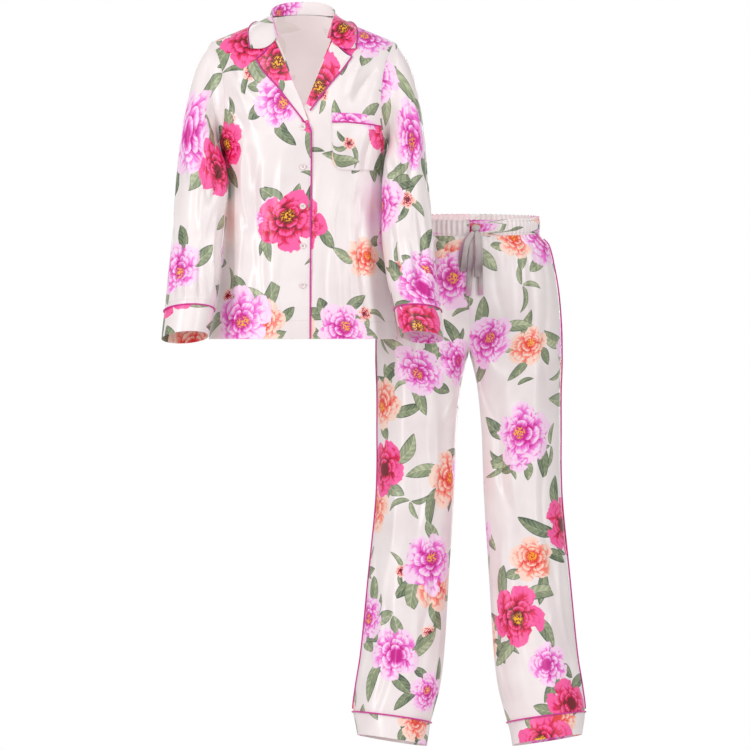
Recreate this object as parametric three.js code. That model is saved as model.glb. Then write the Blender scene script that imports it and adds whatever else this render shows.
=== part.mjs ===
// Women's pyjama set: a long-sleeved notch-collar jacket and long drawstring trousers,
// both filled out as if worn. Millimetres, +Z up, the fronts face -Y.
// The origin is the middle of the jacket's shoulders. Left and right are the wearer's.
import * as THREE from 'three';

// Driving dimensions
const WALL = 1.6; // cloth wall
const BAND_WALL = 2.4; // waistband, with its elastic
const SEAM = 0.4; // gap between sewn pieces
const PIPING_RADIUS = 1.5;
const JACKET_HEM = -618;
const UNDERARM = -225;
const SHOULDER_TIP = { x: 182, z: -24 };
const NECK_POINT = { x: 66, z: 24 };
const BACK_NECK = 31;
const SHOULDER_ROUND = 110; // drop over which the shoulders round away
const BODY_SQUARENESS = 2.6; // exponent of the body's rounded section
const BUTTON = { radius: 6.2, height: 2.6, count: 5, top: -196, pitch: 78.8 };
const TROUSERS = { x: 333, y: 150 }; // centre of the trousers
const CROTCH = -646;
const CROTCH_CURVE = 105; // height over which the seat parts into legs
const CROTCH_FADE = 110; // how much lower it ends away from the crotch
const WAIST = { top: -379, bottom: -411, depth: 96, rise: 0.07 }; // the back stands higher
const GATHERS = { band: 80, bandDepth: 1.7, panel: 6, panelDepth: 1.6, fade: 70 };
const HEM_TILT = 0.065;

// Jacket body, by height: half width to each side and the depth of front and back
const bodyForm = [
  { z: -640, right: 192, left: 192, front: 116, back: 106 },
  { z: -500, right: 171, left: 174, front: 112, back: 102 },
  { z: -400, right: 158, left: 167, front: 107, back: 97 },
  { z: -310, right: 155, left: 165, front: 106, back: 96 },
  { z: -250, right: 161.5, left: 166.5, front: 109, back: 98 },
  { z: -225, right: 168, left: 169.5, front: 110, back: 100 },
  { z: -185, right: 174, left: 174, front: 109, back: 102 },
  { z: -120, right: 181, left: 181, front: 103, back: 102 },
  { z: -60, right: 186, left: 186, front: 96, back: 98 },
  { z: 60, right: 196, left: 196, front: 90, back: 90 },
];
// Armhole seam, by height
const armhole = [
  { z: -225, x: 166.5 },
  { z: -205, x: 161.6 },
  { z: -180, x: 157.5 },
  { z: -146, x: 156 },
  { z: -100, x: 159 },
  { z: -60, x: 167 },
  { z: -24, x: 182 },
];
// Inner edges of the two fronts, from the hem up the roll of the lapel to the neck
const frontEdge = [
  { z: -640, right: 13, left: -15 },
  { z: -400, right: 14, left: -15 },
  { z: -200, right: 15, left: -14 },
  { z: -171, right: 8, left: -6 },
  { z: -156, right: 1, left: 3 },
  { z: -110, right: -17, left: 22 },
  { z: -64, right: -33, left: 39 },
  { z: -20, right: -52, left: 57 },
  { z: 24, right: -66, left: 66 },
];
// Soft folds of the jacket: place at the top and foot, width, depth and height range
const frontFolds = [
  { top: -150, foot: -62, width: 22, depth: -5, from: -50, to: -210 },
  { top: -104, foot: -92, width: 11, depth: -6, from: -230, to: -600 },
  { top: -128, foot: -126, width: 9, depth: 6, from: -250, to: -640 },
  { top: -60, foot: -52, width: 15, depth: 3, from: -330, to: -640 },
  { top: 60, foot: 74, width: 16, depth: 3, from: -320, to: -640 },
  { top: 116, foot: 150, width: 10, depth: 7, from: -330, to: -640 },
  { top: 138, foot: 168, width: 10, depth: -7, from: -330, to: -640 },
  { top: 150, foot: 74, width: 20, depth: -4, from: -50, to: -200 },
];
const backFolds = [
  { top: -70, foot: -96, width: 16, depth: -5, from: -140, to: -640 },
  { top: -20, foot: -28, width: 20, depth: 4, from: -240, to: -640 },
  { top: 46, foot: 62, width: 16, depth: -4, from: -260, to: -640 },
  { top: 104, foot: 118, width: 14, depth: -5, from: -160, to: -640 },
];
// Sleeve sections after the armhole: outer and inner edge, middle, half depth, forward lean
const sleeveForm = [
  { outerX: 193, outerZ: -37, innerX: 169, innerZ: -229, midY: -4, depth: 52, lean: 0 },
  { outerX: 207, outerZ: -58, innerX: 168, innerZ: -233, midY: -9, depth: 57, lean: 0 },
  { outerX: 220, outerZ: -88, innerX: 166, innerZ: -238, midY: -16, depth: 60, lean: 0.02 },
  { outerX: 231, outerZ: -130, innerX: 163, innerZ: -244, midY: -27, depth: 61, lean: 0.04 },
  { outerX: 239, outerZ: -180, innerX: 159, innerZ: -253, midY: -41, depth: 59, lean: 0.08 },
  { outerX: 245, outerZ: -235, innerX: 153, innerZ: -272, midY: -53, depth: 57, lean: 0.12 },
  { outerX: 249, outerZ: -300, innerX: 147, innerZ: -312, midY: -65, depth: 53, lean: 0.18 },
  { outerX: 256, outerZ: -372, innerX: 154, innerZ: -370, midY: -76, depth: 50, lean: 0.22 },
  { outerX: 262, outerZ: -440, innerX: 161, innerZ: -434, midY: -90, depth: 49, lean: 0.26 },
  { outerX: 269, outerZ: -505, innerX: 164, innerZ: -500, midY: -106, depth: 48, lean: 0.27 },
  { outerX: 275, outerZ: -563, innerX: 177, innerZ: -560, midY: -120, depth: 46, lean: 0.27 },
  { outerX: 281, outerZ: -618, innerX: 187, innerZ: -612, midY: -134, depth: 45, lean: 0.27 },
];
const SLEEVE_SEAM = 10; // the section where the cuff is sewn on
const ELBOW = 6; // each sleeve is split here, and along its edges into front and back
const HALF_GAP = 0.35;
// The left sleeve hangs a little further out at the elbow than the right
const leftInnerShift = [
  { z: -620, x: 8 },
  { z: -500, x: 4 },
  { z: -420, x: -2 },
  { z: -310, x: 11 },
  { z: -260, x: 6 },
  { z: -225, x: 0 },
];
// Dents of a sleeve: place round it in turns, height, width round, width along, depth
const sleeveDents = [
  { turn: 0.2, z: -485, round: 0.05, along: 34, depth: -6 },
  { turn: 0.34, z: -300, round: 0.045, along: 46, depth: -5 },
  { turn: 0.16, z: -250, round: 0.05, along: 70, depth: 3 },
  { turn: 0.7, z: -330, round: 0.06, along: 50, depth: -5 },
  { turn: 0.82, z: -430, round: 0.05, along: 60, depth: 4 },
];
// Half of the collar from the middle of the back: neck seam, roll, outer edge and swell
const collarForm = [
  { at: 0, seamX: 0, seamY: 57, seamZ: 32, rollX: 0, rollY: 68, rollZ: 58,
    edgeX: 0, edgeY: 92, edgeZ: 2, swell: 4 },
  { at: 0.2, seamX: 27, seamY: 52, seamZ: 31, rollX: 29, rollY: 61, rollZ: 56.5,
    edgeX: 39, edgeY: 87, edgeZ: 2, swell: 3 },
  { at: 0.38, seamX: 48, seamY: 38, seamZ: 29, rollX: 52, rollY: 42, rollZ: 50,
    edgeX: 70, edgeY: 66, edgeZ: 6, swell: -1 },
  { at: 0.52, seamX: 59, seamY: 20, seamZ: 28, rollX: 62, rollY: 17, rollZ: 42,
    edgeX: 88, edgeY: 32, edgeZ: 17, swell: -4 },
  { at: 0.64, seamX: 60.5, seamY: -6, seamZ: 26, rollX: 63, rollY: -10, rollZ: 33,
    edgeX: 100, edgeY: -4, edgeZ: 13, swell: -2 },
  { at: 0.8, seamX: 56, seamY: -42, seamZ: 12, rollX: 60, rollY: -50, rollZ: 16,
    edgeX: 108, edgeY: -40, edgeZ: -3, swell: 3 },
  { at: 1, seamX: 48.5, seamY: -76, seamZ: -17, rollX: 55, rollY: -86, rollZ: -18,
    edgeX: 105, edgeY: -76, edgeZ: -38, swell: 4 },
];
const COLLAR_TURN = 0.3; // share of the collar that stands up to its roll
// Lapels from the gorge to the last turn: roll line and outer edge of each
const lapelForm = [
  { at: 0, rightRollX: -54, rightRollZ: -24, rightEdgeX: -90, rightEdgeZ: -60,
    leftRollX: 58, leftRollZ: -24, leftEdgeX: 95, leftEdgeZ: -56 },
  { at: 0.25, rightRollX: -39, rightRollZ: -58, rightEdgeX: -73, rightEdgeZ: -87,
    leftRollX: 45, leftRollZ: -56, leftEdgeX: 76, leftEdgeZ: -82 },
  { at: 0.5, rightRollX: -24, rightRollZ: -96, rightEdgeX: -49, rightEdgeZ: -114,
    leftRollX: 30, leftRollZ: -92, leftEdgeX: 53, leftEdgeZ: -109 },
  { at: 0.75, rightRollX: -7, rightRollZ: -136, rightEdgeX: -24, rightEdgeZ: -147,
    leftRollX: 16, leftRollZ: -126, leftEdgeX: 30, leftEdgeZ: -139 },
  { at: 1, rightRollX: 10.5, rightRollZ: -181, rightEdgeX: 4, rightEdgeZ: -184,
    leftRollX: 7, leftRollZ: -148, leftEdgeX: 13, leftEdgeZ: -162 },
];
// Trousers above the crotch, by height: half width and the depth of front and back
const seatForm = [
  { z: -380, half: 138, front: 96, back: 94 },
  { z: -410, half: 143, front: 99, back: 97 },
  { z: -428, half: 159, front: 106, back: 106 },
  { z: -480, half: 172, front: 113, back: 117 },
  { z: -530, half: 180, front: 115, back: 123 },
  { z: -600, half: 185, front: 114, back: 121 },
  { z: -660, half: 186, front: 111, back: 113 },
];
// A leg, by height: outer and inner edge from the trousers' middle, half depth, middle
const legForm = [
  { z: -620, outer: 186, inner: 0.3, depth: 107, midY: 0 },
  { z: -646, outer: 186, inner: 1, depth: 105, midY: 0 },
  { z: -665, outer: 186, inner: 6, depth: 102, midY: 0 },
  { z: -690, outer: 185, inner: 12, depth: 98, midY: 0 },
  { z: -716, outer: 184, inner: 17, depth: 94, midY: 1 },
  { z: -800, outer: 184, inner: 25, depth: 87, midY: 2 },
  { z: -880, outer: 184, inner: 28, depth: 83, midY: 2 },
  { z: -950, outer: 187, inner: 31, depth: 80, midY: 3 },
  { z: -1090, outer: 201, inner: 40, depth: 78, midY: 6 },
  { z: -1250, outer: 217, inner: 50, depth: 77, midY: 10 },
  { z: -1320, outer: 228, inner: 59, depth: 77, midY: 10 },
  { z: -1366, outer: 233, inner: 71, depth: 76, midY: 9 },
  { z: -1400, outer: 228, inner: 80, depth: 76, midY: 8 },
  { z: -1450, outer: 220, inner: 88, depth: 75, midY: 7 },
];
const LEG_CUFF = { top: -1378, hem: -1424, sideRise: 11, depth: 76 };
// Folds of a leg panel: place across it, width, depth and height range
const legFolds = [
  { at: 0.3, width: 0.07, depth: -5, from: -660, to: -1000 },
  { at: 0.62, width: 0.08, depth: 5, from: -560, to: -1160 },
  { at: 0.45, width: 0.06, depth: -4, from: -980, to: -1360 },
  { at: 0.8, width: 0.06, depth: -4, from: -1010, to: -1380 },
  { at: 0.14, width: 0.06, depth: -4, from: -620, to: -740 },
];
const POCKET = {
  left: 58, wrap: 0.95, width: 118, top: -167, drop: 7, band: 19, foot: -282, corner: 26,
};
// Hanging strands of the tie, from its knot: X is from the trousers' middle
const TIE = { width: 11, wall: 1.3, knot: 8.6, knotX: 13, knotZ: -395.5 };
const tieStrands = {
  tie_loop_right: [
    { x: 8, z: -403.2, out: 6.9 }, { x: -4, z: -424, out: 7 }, { x: -9, z: -448, out: 6.5 },
    { x: -11, z: -470, out: 6 }, { x: -13, z: -482, out: 4 }, { x: -16, z: -470, out: 2 },
    { x: -16, z: -448, out: 2 }, { x: -9, z: -424, out: 2 }, { x: 4, z: -407, out: 2.2 },
  ],
  tie_loop_left: [
    { x: 15, z: -402.3, out: 8.6 }, { x: 17, z: -432, out: 12 }, { x: 17, z: -462, out: 12 },
    { x: 16, z: -486, out: 11.5 }, { x: 15, z: -493, out: 9.8 }, { x: 15, z: -484, out: 8 },
    { x: 15, z: -462, out: 8 }, { x: 14, z: -432, out: 7.6 }, { x: 13, z: -410, out: 7 },
  ],
  tie_tail_right: [
    { x: 7.4, z: -403.2, out: 4.4 }, { x: 4, z: -440, out: 4 }, { x: 1, z: -480, out: 3 },
    { x: -1, z: -510, out: 3 }, { x: -2, z: -532, out: 3 },
  ],
  tie_tail_left: [
    { x: 18.9, z: -403.2, out: 4.4 }, { x: 21, z: -440, out: 3.6 }, { x: 21.5, z: -480, out: 3 },
    { x: 22, z: -510, out: 3 }, { x: 22.5, z: -530, out: 3 },
  ],
};

const cloth = (colour) => new THREE.MeshStandardMaterial({ color: colour, roughness: 0.4 });
const satin = cloth(0xeedfe0);
const satinWrongSide = cloth(0xe2d8d8);
const pipingSatin = cloth(0xd81b8c);
const pearl = new THREE.MeshStandardMaterial({ color: 0xf3e9e6, roughness: 0.25 });

const garment = new THREE.Group();

function add(name, geometry, material) {
  const mesh = new THREE.Mesh(geometry, material);
  mesh.name = name;
  garment.add(mesh);
}

// Reads a column of a table at a place, smoothly from row to row
function read(table, by, at, name) {
  const rows = table[0][by] < table[table.length - 1][by] ? table : [...table].reverse();
  const last = rows.length - 1;
  if (at <= rows[0][by]) return rows[0][name];
  if (at >= rows[last][by]) return rows[last][name];
  const i = rows.findIndex((row) => row[by] > at) - 1;
  const slope = (k) => {
    const a = rows[Math.max(0, k - 1)];
    const b = rows[Math.min(last, k + 1)];
    return (b[name] - a[name]) / (b[by] - a[by]);
  };
  const span = rows[i + 1][by] - rows[i][by];
  const t = (at - rows[i][by]) / span;
  const rise = rows[i + 1][name] - rows[i][name];
  const startSlope = slope(i) * span - rise;
  const endSlope = rise - slope(i + 1) * span;
  return rows[i][name] + rise * t + t * (1 - t) * (startSlope * (1 - t) + endSlope * t);
}

const mix = (a, b, t) => a + (b - a) * t;

function smooth(from, to, at) {
  const t = Math.min(1, Math.max(0, (at - from) / (to - from)));
  return t * t * (3 - 2 * t);
}

const roundOff = (q, power) => (1 - Math.min(1, Math.abs(q)) ** power) ** (1 / power);

// Depth that the folds of a list add at a place
function drape(folds, x, z) {
  return folds.reduce((sum, fold) => {
    const t = (z - fold.from) / (fold.to - fold.from);
    if (t <= 0 || t >= 1) return sum;
    const middle = mix(fold.top, fold.foot, t);
    const ends = Math.min(1, 6 * t, fold.to < JACKET_HEM ? 1 : 6 * (1 - t));
    return sum + fold.depth * ends * Math.exp(-(((x - middle) / fold.width) ** 2));
  }, 0);
}

const slopeOfShoulder = (NECK_POINT.z - SHOULDER_TIP.z) / (SHOULDER_TIP.x - NECK_POINT.x);
const NECK_RISE = 27; // the back stands higher in the middle of the neck

// Height of the shoulder seam, and of its run on under the collar
function shoulderLine(x) {
  const out = Math.abs(x) - NECK_POINT.x;
  if (out > 0) return NECK_POINT.z - slopeOfShoulder * out;
  return NECK_POINT.z + NECK_RISE * (1 - (x / NECK_POINT.x) ** 2);
}

// Distance of the jacket's front or back from the plane through its side seams
function bodyDepth(x, z, part) {
  const half = read(bodyForm, 'z', z, x < 0 ? 'right' : 'left');
  const below = Math.min(1, Math.max(0, (shoulderLine(x) - z) / SHOULDER_ROUND));
  const overShoulder = Math.sqrt(1 - (1 - below) ** 2);
  const across = roundOff(x / half, BODY_SQUARENESS);
  const folds = drape(part === 'front' ? frontFolds : backFolds, x, z);
  return (read(bodyForm, 'z', z, part) * across + folds * Math.min(1, across * 2)) * overShoulder;
}

// A point on the jacket's front, moved out along the cloth's outward side
function onFront(x, z, lift) {
  const step = 0.5;
  const depth = bodyDepth(x, z, 'front');
  const out = new THREE.Vector3(
    (depth - bodyDepth(x + step, z, 'front')) / step, -1,
    (depth - bodyDepth(x, z + step, 'front')) / step).normalize();
  return new THREE.Vector3(x, -depth, z).addScaledVector(out, lift);
}

// A closed body between a sheet's outer face and the same sheet moved in by its wall.
// at(u, v) gives the outer face; round says that the last column meets the first,
// and beyond that the sheet runs on past its side edges as a ring does.
function wall(at, columns, rows, options = {}) {
  const { thickness = WALL, round = false, beyond = round, flip = false, step = 1e-4 } = options;
  const normal = (u, v) => {
    const u0 = beyond ? u - step : Math.max(0, u - step);
    const u1 = beyond ? u + step : Math.min(1, u + step);
    const across = at(u1, v).sub(at(u0, v));
    const up = at(u, Math.min(1, v + step)).sub(at(u, Math.max(0, v - step)));
    return across.cross(up).normalize().multiplyScalar(flip ? -1 : 1);
  };
  const wide = round ? columns : columns + 1;
  const points = [];
  for (const depth of [0, thickness]) {
    for (let j = 0; j <= rows; j += 1) {
      for (let i = 0; i < wide; i += 1) {
        const u = i / columns;
        const v = j / rows;
        const point = at(u, v);
        if (depth) point.addScaledVector(normal(u, v), -depth);
        points.push(point);
      }
    }
  }
  const layer = wide * (rows + 1);
  const faces = [];
  const quad = (a, b, c, d) => faces.push([a, b, c], [a, c, d]);
  const id = (i, j, inner) => (i % wide) + j * wide + (inner ? layer : 0);
  for (let j = 0; j < rows; j += 1) {
    for (let i = 0; i < columns; i += 1) {
      quad(id(i, j), id(i + 1, j), id(i + 1, j + 1), id(i, j + 1));
      quad(id(i, j, true), id(i, j + 1, true), id(i + 1, j + 1, true), id(i + 1, j, true));
    }
  }
  for (let i = 0; i < columns; i += 1) {
    quad(id(i + 1, 0), id(i, 0), id(i, 0, true), id(i + 1, 0, true));
    quad(id(i, rows), id(i + 1, rows), id(i + 1, rows, true), id(i, rows, true));
  }
  if (!round) {
    for (let j = 0; j < rows; j += 1) {
      quad(id(0, j), id(0, j + 1), id(0, j + 1, true), id(0, j, true));
      quad(id(columns, j + 1), id(columns, j), id(columns, j, true), id(columns, j + 1, true));
    }
  }
  return solid(points, faces);
}

function solid(points, faces) {
  const volume = faces.reduce((sum, [a, b, c]) => {
    return sum + points[a].dot(points[b].clone().cross(points[c]));
  }, 0);
  const geometry = new THREE.BufferGeometry();
  geometry.setAttribute('position', new THREE.Float32BufferAttribute(
    points.flatMap((point) => point.toArray()), 3));
  geometry.setIndex(faces.flatMap(([a, b, c]) => (volume > 0 ? [a, b, c] : [a, c, b])));
  return geometry;
}

// A thin rod with flat ends along a row of points; up gives each point's outward side
function rod(path, up, { sides = 5, wide = PIPING_RADIUS, high = PIPING_RADIUS } = {}) {
  const points = [];
  path.forEach((point, k) => {
    const ahead = path[Math.min(path.length - 1, k + 1)].clone();
    const along = ahead.sub(path[Math.max(0, k - 1)]).normalize();
    const across = new THREE.Vector3().crossVectors(along, up[k]).normalize();
    const out = new THREE.Vector3().crossVectors(across, along);
    for (let i = 0; i < sides; i += 1) {
      const turn = ((i + 0.5) / sides) * 2 * Math.PI;
      points.push(point.clone().addScaledVector(across, wide * Math.cos(turn))
        .addScaledVector(out, high * Math.sin(turn)));
    }
  });
  const faces = [];
  for (let k = 0; k < path.length - 1; k += 1) {
    for (let i = 0; i < sides; i += 1) {
      const a = k * sides + i;
      const b = k * sides + ((i + 1) % sides);
      faces.push([a, b, b + sides], [a, b + sides, a + sides]);
    }
  }
  for (let i = 1; i < sides - 1; i += 1) {
    const end = (path.length - 1) * sides;
    faces.push([0, i + 1, i], [end, end + i, end + i + 1]);
  }
  return solid(points, faces);
}

// Rows crowd towards the shoulder, where the cloth turns over
function rise(v) {
  const share = (UNDERARM - JACKET_HEM) / (SHOULDER_TIP.z - JACKET_HEM);
  if (v < 0.5) return share * (1 - (1 - 2 * v) ** 1.4);
  return share + (1 - share) * Math.sin((v - 0.5) * Math.PI);
}

// Places round a ring from its inner seam, with a slit where the piping's ends meet
function roundTurns(count) {
  const slit = 0.003;
  return [...Array(count + 1).keys()].map((i) => (
    0.5 + Math.min(1 - slit, Math.max(slit, i / count))));
}

const SEAM_TURN = 0.0012; // half a seam's gap where the body rounds to its side
function sideEdge(side, z) {
  if (z < UNDERARM) return side * read(bodyForm, 'z', z, side < 0 ? 'right' : 'left');
  return side * read(armhole, 'z', z, 'x');
}

// side is -1 for the wearer's right front, on the left of the front view, and 1 for the left
function frontPoint(side, u, v) {
  const edge = side < 0 ? 'right' : 'left';
  const climb = rise(Math.min(v, 1 - SEAM_TURN));
  const inner = read(frontEdge, 'z', mix(JACKET_HEM, NECK_POINT.z, climb), edge);
  const outer = sideEdge(side, mix(JACKET_HEM, SHOULDER_TIP.z, climb));
  const share = Math.sin(Math.min(u, 1 - SEAM_TURN) * Math.PI / 2);
  const topX = mix(side * NECK_POINT.x, side * SHOULDER_TIP.x, share);
  const x = mix(inner, outer, share);
  const z = mix(JACKET_HEM, shoulderLine(topX), climb);
  const under = side > 0 ? 2.6 * (1 - smooth(18, 50, x)) * (1 - smooth(-150, -90, z)) : 0;
  return new THREE.Vector3(x, under - bodyDepth(x, z, 'front'), z);
}

function backPoint(u, v) {
  const climb = rise(Math.min(v, 1 - SEAM_TURN));
  const turn = Math.max(-1 + SEAM_TURN, Math.min(1 - SEAM_TURN, 2 * u - 1));
  const share = Math.sin(turn * Math.PI / 2);
  const x = Math.abs(share) * sideEdge(Math.sign(share) || 1, mix(JACKET_HEM, SHOULDER_TIP.z, climb));
  const topX = Math.abs(share * SHOULDER_TIP.x);
  const neck = mix(BACK_NECK, NECK_POINT.z, (topX / NECK_POINT.x) ** 2);
  const z = mix(JACKET_HEM, topX < NECK_POINT.x ? neck : shoulderLine(topX), climb);
  return new THREE.Vector3(x, bodyDepth(x, z, 'back'), z);
}

// Section of a sleeve: turn 0 is its outer edge, a quarter is its front
function sleeveRing(side, place, turn) {
  const c = Math.cos(turn * 2 * Math.PI);
  const s = Math.sin(turn * 2 * Math.PI);
  if (place <= 0) {
    const fromTop = Math.abs(turn - Math.round(turn));
    const z = mix(UNDERARM, SHOULDER_TIP.z, Math.cos(fromTop * Math.PI));
    const x = read(armhole, 'z', z, 'x');
    const depth = Math.max(4, bodyDepth(side * x, z, s > 0 ? 'front' : 'back'));
    const across = Math.max(-1, Math.min(1, 3 * s));
    return new THREE.Vector3(side * (x + 2.6 * SEAM), -across * depth, z);
  }
  const rows = sleeveForm.map((row, k) => ({ ...row, k: k + 1 }));
  const get = (name) => read(rows, 'k', place, name);
  const shift = side > 0 ? read(leftInnerShift, 'z', get('innerZ'), 'x') : 0;
  const inner = get('innerX') + shift;
  const z = mix((get('outerZ') + get('innerZ')) / 2, get('outerZ'), c) + get('lean') * get('depth') * s;
  const dent = sleeveDents.reduce((sum, row) => {
    const round = (turn - row.turn) / row.round;
    return sum + row.depth * Math.exp(-(round ** 2) - (((z - row.z) / row.along) ** 2));
  }, 0);
  const x = (get('outerX') + inner) / 2 + ((get('outerX') - inner) / 2 + dent) * c;
  return new THREE.Vector3(side * x, get('midY') - (get('depth') + dent) * s, z);
}

function sleevePoint(side, u, place) {
  if (place >= 1) return sleeveRing(side, place, u);
  return sleeveRing(side, 0, u).lerp(sleeveRing(side, 1, u), place);
}

function buildJacketBody() {
  for (const [name, side] of [['right', -1], ['left', 1]]) {
    const at = (u, v) => frontPoint(side, u, v);
    add(`jacket_front_${name}`, wall(at, 11, 18, { flip: side < 0 }), satin);
  }
  add('jacket_back', wall(backPoint, 18, 18, { flip: true }), satin);
}

function buildSleeves() {
  for (const [name, side] of [['right', -1], ['left', 1]]) {
    const seam = SLEEVE_SEAM + 1;
    const gap = SEAM / 60;
    const joined = { beyond: true, step: 0.01, flip: side < 0 };
    for (const [part, start] of [['front', 0], ['back', 0.5]]) {
      const share = (from, to) => (u, v) => {
        const point = sleevePoint(side, start + u / 2, mix(from, to, v));
        return point.setY(point.y + (start - 0.25) * HALF_GAP * 2);
      };
      add(`sleeve_upper_${part}_${name}`, wall(share(0, ELBOW - gap), 9, 7, joined), satin);
      add(`sleeve_lower_${part}_${name}`, wall(share(ELBOW + gap, seam - gap), 9, 6, joined), satin);
    }
    const cuff = (u, v) => sleevePoint(side, u, seam + gap + v * (1 - gap));
    add(`sleeve_cuff_${name}`, wall(cuff, 18, 2, { round: true, flip: side < 0 }), satin);
    const turns = roundTurns(18);
    const up = turns.map((turn) => {
      const middle = sleevePoint(side, 0, seam).add(sleevePoint(side, 0.5, seam));
      return sleevePoint(side, turn, seam).sub(middle.multiplyScalar(0.5)).normalize();
    });
    const path = turns.map((turn, k) => (
      sleevePoint(side, turn, seam).addScaledVector(up[k], PIPING_RADIUS + SEAM)));
    add(`piping_sleeve_${name}`, rod(path, up), pipingSatin);
  }
}

// Moves a point out until it is clear of the jacket's body
function clearOfBody(point, gap) {
  const { x, z } = point;
  const part = point.y < 0 ? 'front' : 'back';
  if (z >= shoulderLine(x)) return point;
  const depth = bodyDepth(x, z, part) + gap;
  return point.setY(part === 'front' ? Math.min(point.y, -depth) : Math.max(point.y, depth));
}

// v runs over the collar's section: neck seam, roll, outer edge at 1
function collarPointAt(u, v) {
  const side = Math.sign(u - 0.5) || 1;
  const at = Math.abs(2 * u - 1);
  const get = (name) => {
    const mirrored = [...collarForm].slice(1).reverse().map((row) => ({ ...row, at: -row.at }));
    const odd = name.endsWith('X') ? -1 : 1;
    const rows = [...mirrored.map((row) => ({ ...row, [name]: odd * row[name] })), ...collarForm];
    return read(rows, 'at', at, name);
  };
  const spot = (part) => new THREE.Vector3(
    side * get(`${part}X`), get(`${part}Y`), get(`${part}Z`));
  if (v <= COLLAR_TURN) return spot('seam').lerp(spot('roll'), v / COLLAR_TURN);
  const t = (v - COLLAR_TURN) / (1 - COLLAR_TURN);
  const point = spot('roll').lerp(spot('edge'), t);
  const bulge = get('swell') * Math.sin(Math.PI * t) ** 0.7;
  point.x += side * bulge * Math.min(1, at * 2);
  point.y += bulge * (1 - 2 * smooth(0.5, 0.9, at));
  point.z += bulge;
  point.z -= 15 * smooth(0.84, 1, at) * Math.sin(Math.PI * t ** 0.7);
  return clearOfBody(point, 2.4 + 2.2 * (1 - t));
}

function buildCollar() {
  const at = (u, v) => collarPointAt(u, v);
  add('collar', wall(at, 22, 6), satin);
}

function lapelPoint(side, u, v) {
  const name = side < 0 ? 'right' : 'left';
  const get = (column) => read(lapelForm, 'at', v, name + column);
  const x = mix(get('RollX'), get('EdgeX'), u);
  const bow = 4 * Math.sin(Math.PI * u) * (1 - v) ** 3;
  const z = mix(get('RollZ'), get('EdgeZ'), u) - bow;
  const lift = WALL + 0.5 + 2 * Math.sin(Math.PI * Math.min(1, u + 0.1)) * (1 - v);
  return onFront(x, z, lift);
}

function buildLapels() {
  for (const [name, side] of [['right', -1], ['left', 1]]) {
    const at = (u, v) => lapelPoint(side, u, v);
    add(`lapel_${name}`, wall(at, 4, 8, { flip: side > 0 }), satin);
  }
}

function edgePiping(name, spots, lift) {
  const path = spots.map(([x, z]) => onFront(x, z, lift(z)));
  add(name, rod(path, path.map(() => new THREE.Vector3(0, -1, 0))), pipingSatin);
}

function buildFrontPiping() {
  const beside = PIPING_RADIUS + SEAM;
  // Beside a lapel's free edges, from its foot round the tip to the notch
  const edge = (side) => {
    const outline = [...Array(9).keys()].map((i) => [1, 1 - i / 8]);
    outline.push([0.97, 0], [0.7, 0], [0.42, 0]);
    const spots = outline.map(([u, v]) => lapelPoint(side, u, v));
    return spots.map((spot, k) => {
      const ahead = spots[Math.min(spots.length - 1, k + 1)].clone();
      const along = ahead.sub(spots[Math.max(0, k - 1)]).setY(0).normalize();
      return [spot.x + side * along.z * beside, spot.z - side * along.x * beside];
    });
  };
  const frontSpots = [...Array(14).keys()].map((i) => {
    const z = mix(JACKET_HEM + 1, -204, i / 13);
    return [read(frontEdge, 'z', z, 'right') + beside, z];
  });
  const above = PIPING_RADIUS + SEAM;
  const turnUp = [[15, -197], [10, -190]];
  edgePiping('piping_front_right', [...frontSpots, ...turnUp, ...edge(-1)],
    (z) => above * smooth(-225, -196, z));
  edgePiping('piping_lapel_left', edge(1), () => above);
  const spots = [...Array(37).keys()].map((i) => mix(0.004, 0.996, i / 36));
  const up = spots.map((u) => collarPointAt(u, 1).sub(collarPointAt(u, 0.9)).normalize());
  const path = spots.map((u, k) => {
    const point = collarPointAt(u, 1).addScaledVector(up[k], beside + 1.5 * SEAM);
    return clearOfBody(point, above + 0.3);
  });
  add('piping_collar', rod(path, up), pipingSatin);
}

// The pocket's place: u across it, z up it, moved out from the left front
function pocketPoint(u, z, lift) {
  const half = read(bodyForm, 'z', z, 'left');
  const turn = mix(Math.asin(POCKET.left / half), Math.asin(POCKET.wrap), u);
  const x = Math.min(half * Math.sin(turn), mix(POCKET.left, sideEdge(1, z) - 5, u));
  return onFront(x, z, lift);
}

function buildPocket() {
  const above = WALL + 2 * SEAM;
  const top = (u) => POCKET.top - POCKET.drop * u ** 2;
  const bandFoot = (u) => top(u) - POCKET.band;
  const band = (u, v) => pocketPoint(u, mix(bandFoot(u), top(u), v), above);
  const bag = (u, v) => {
    const fromSide = Math.min(u, 1 - u) * POCKET.width;
    const inCorner = Math.max(0, 1 - fromSide / POCKET.corner);
    const foot = POCKET.foot + POCKET.corner * (1 - Math.sqrt(1 - inCorner ** 2));
    return pocketPoint(u, mix(foot, bandFoot(u) - SEAM, v), above);
  };
  add('pocket_band', wall(band, 9, 1), satin);
  add('pocket', wall(bag, 9, 6), satin);
  const path = [...Array(10).keys()].map((i) => (
    pocketPoint(i / 9, bandFoot(i / 9), above + 1.5 * SEAM + PIPING_RADIUS)));
  add('piping_pocket', rod(path, path.map(() => new THREE.Vector3(0, -1, 0))), pipingSatin);
}

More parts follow.
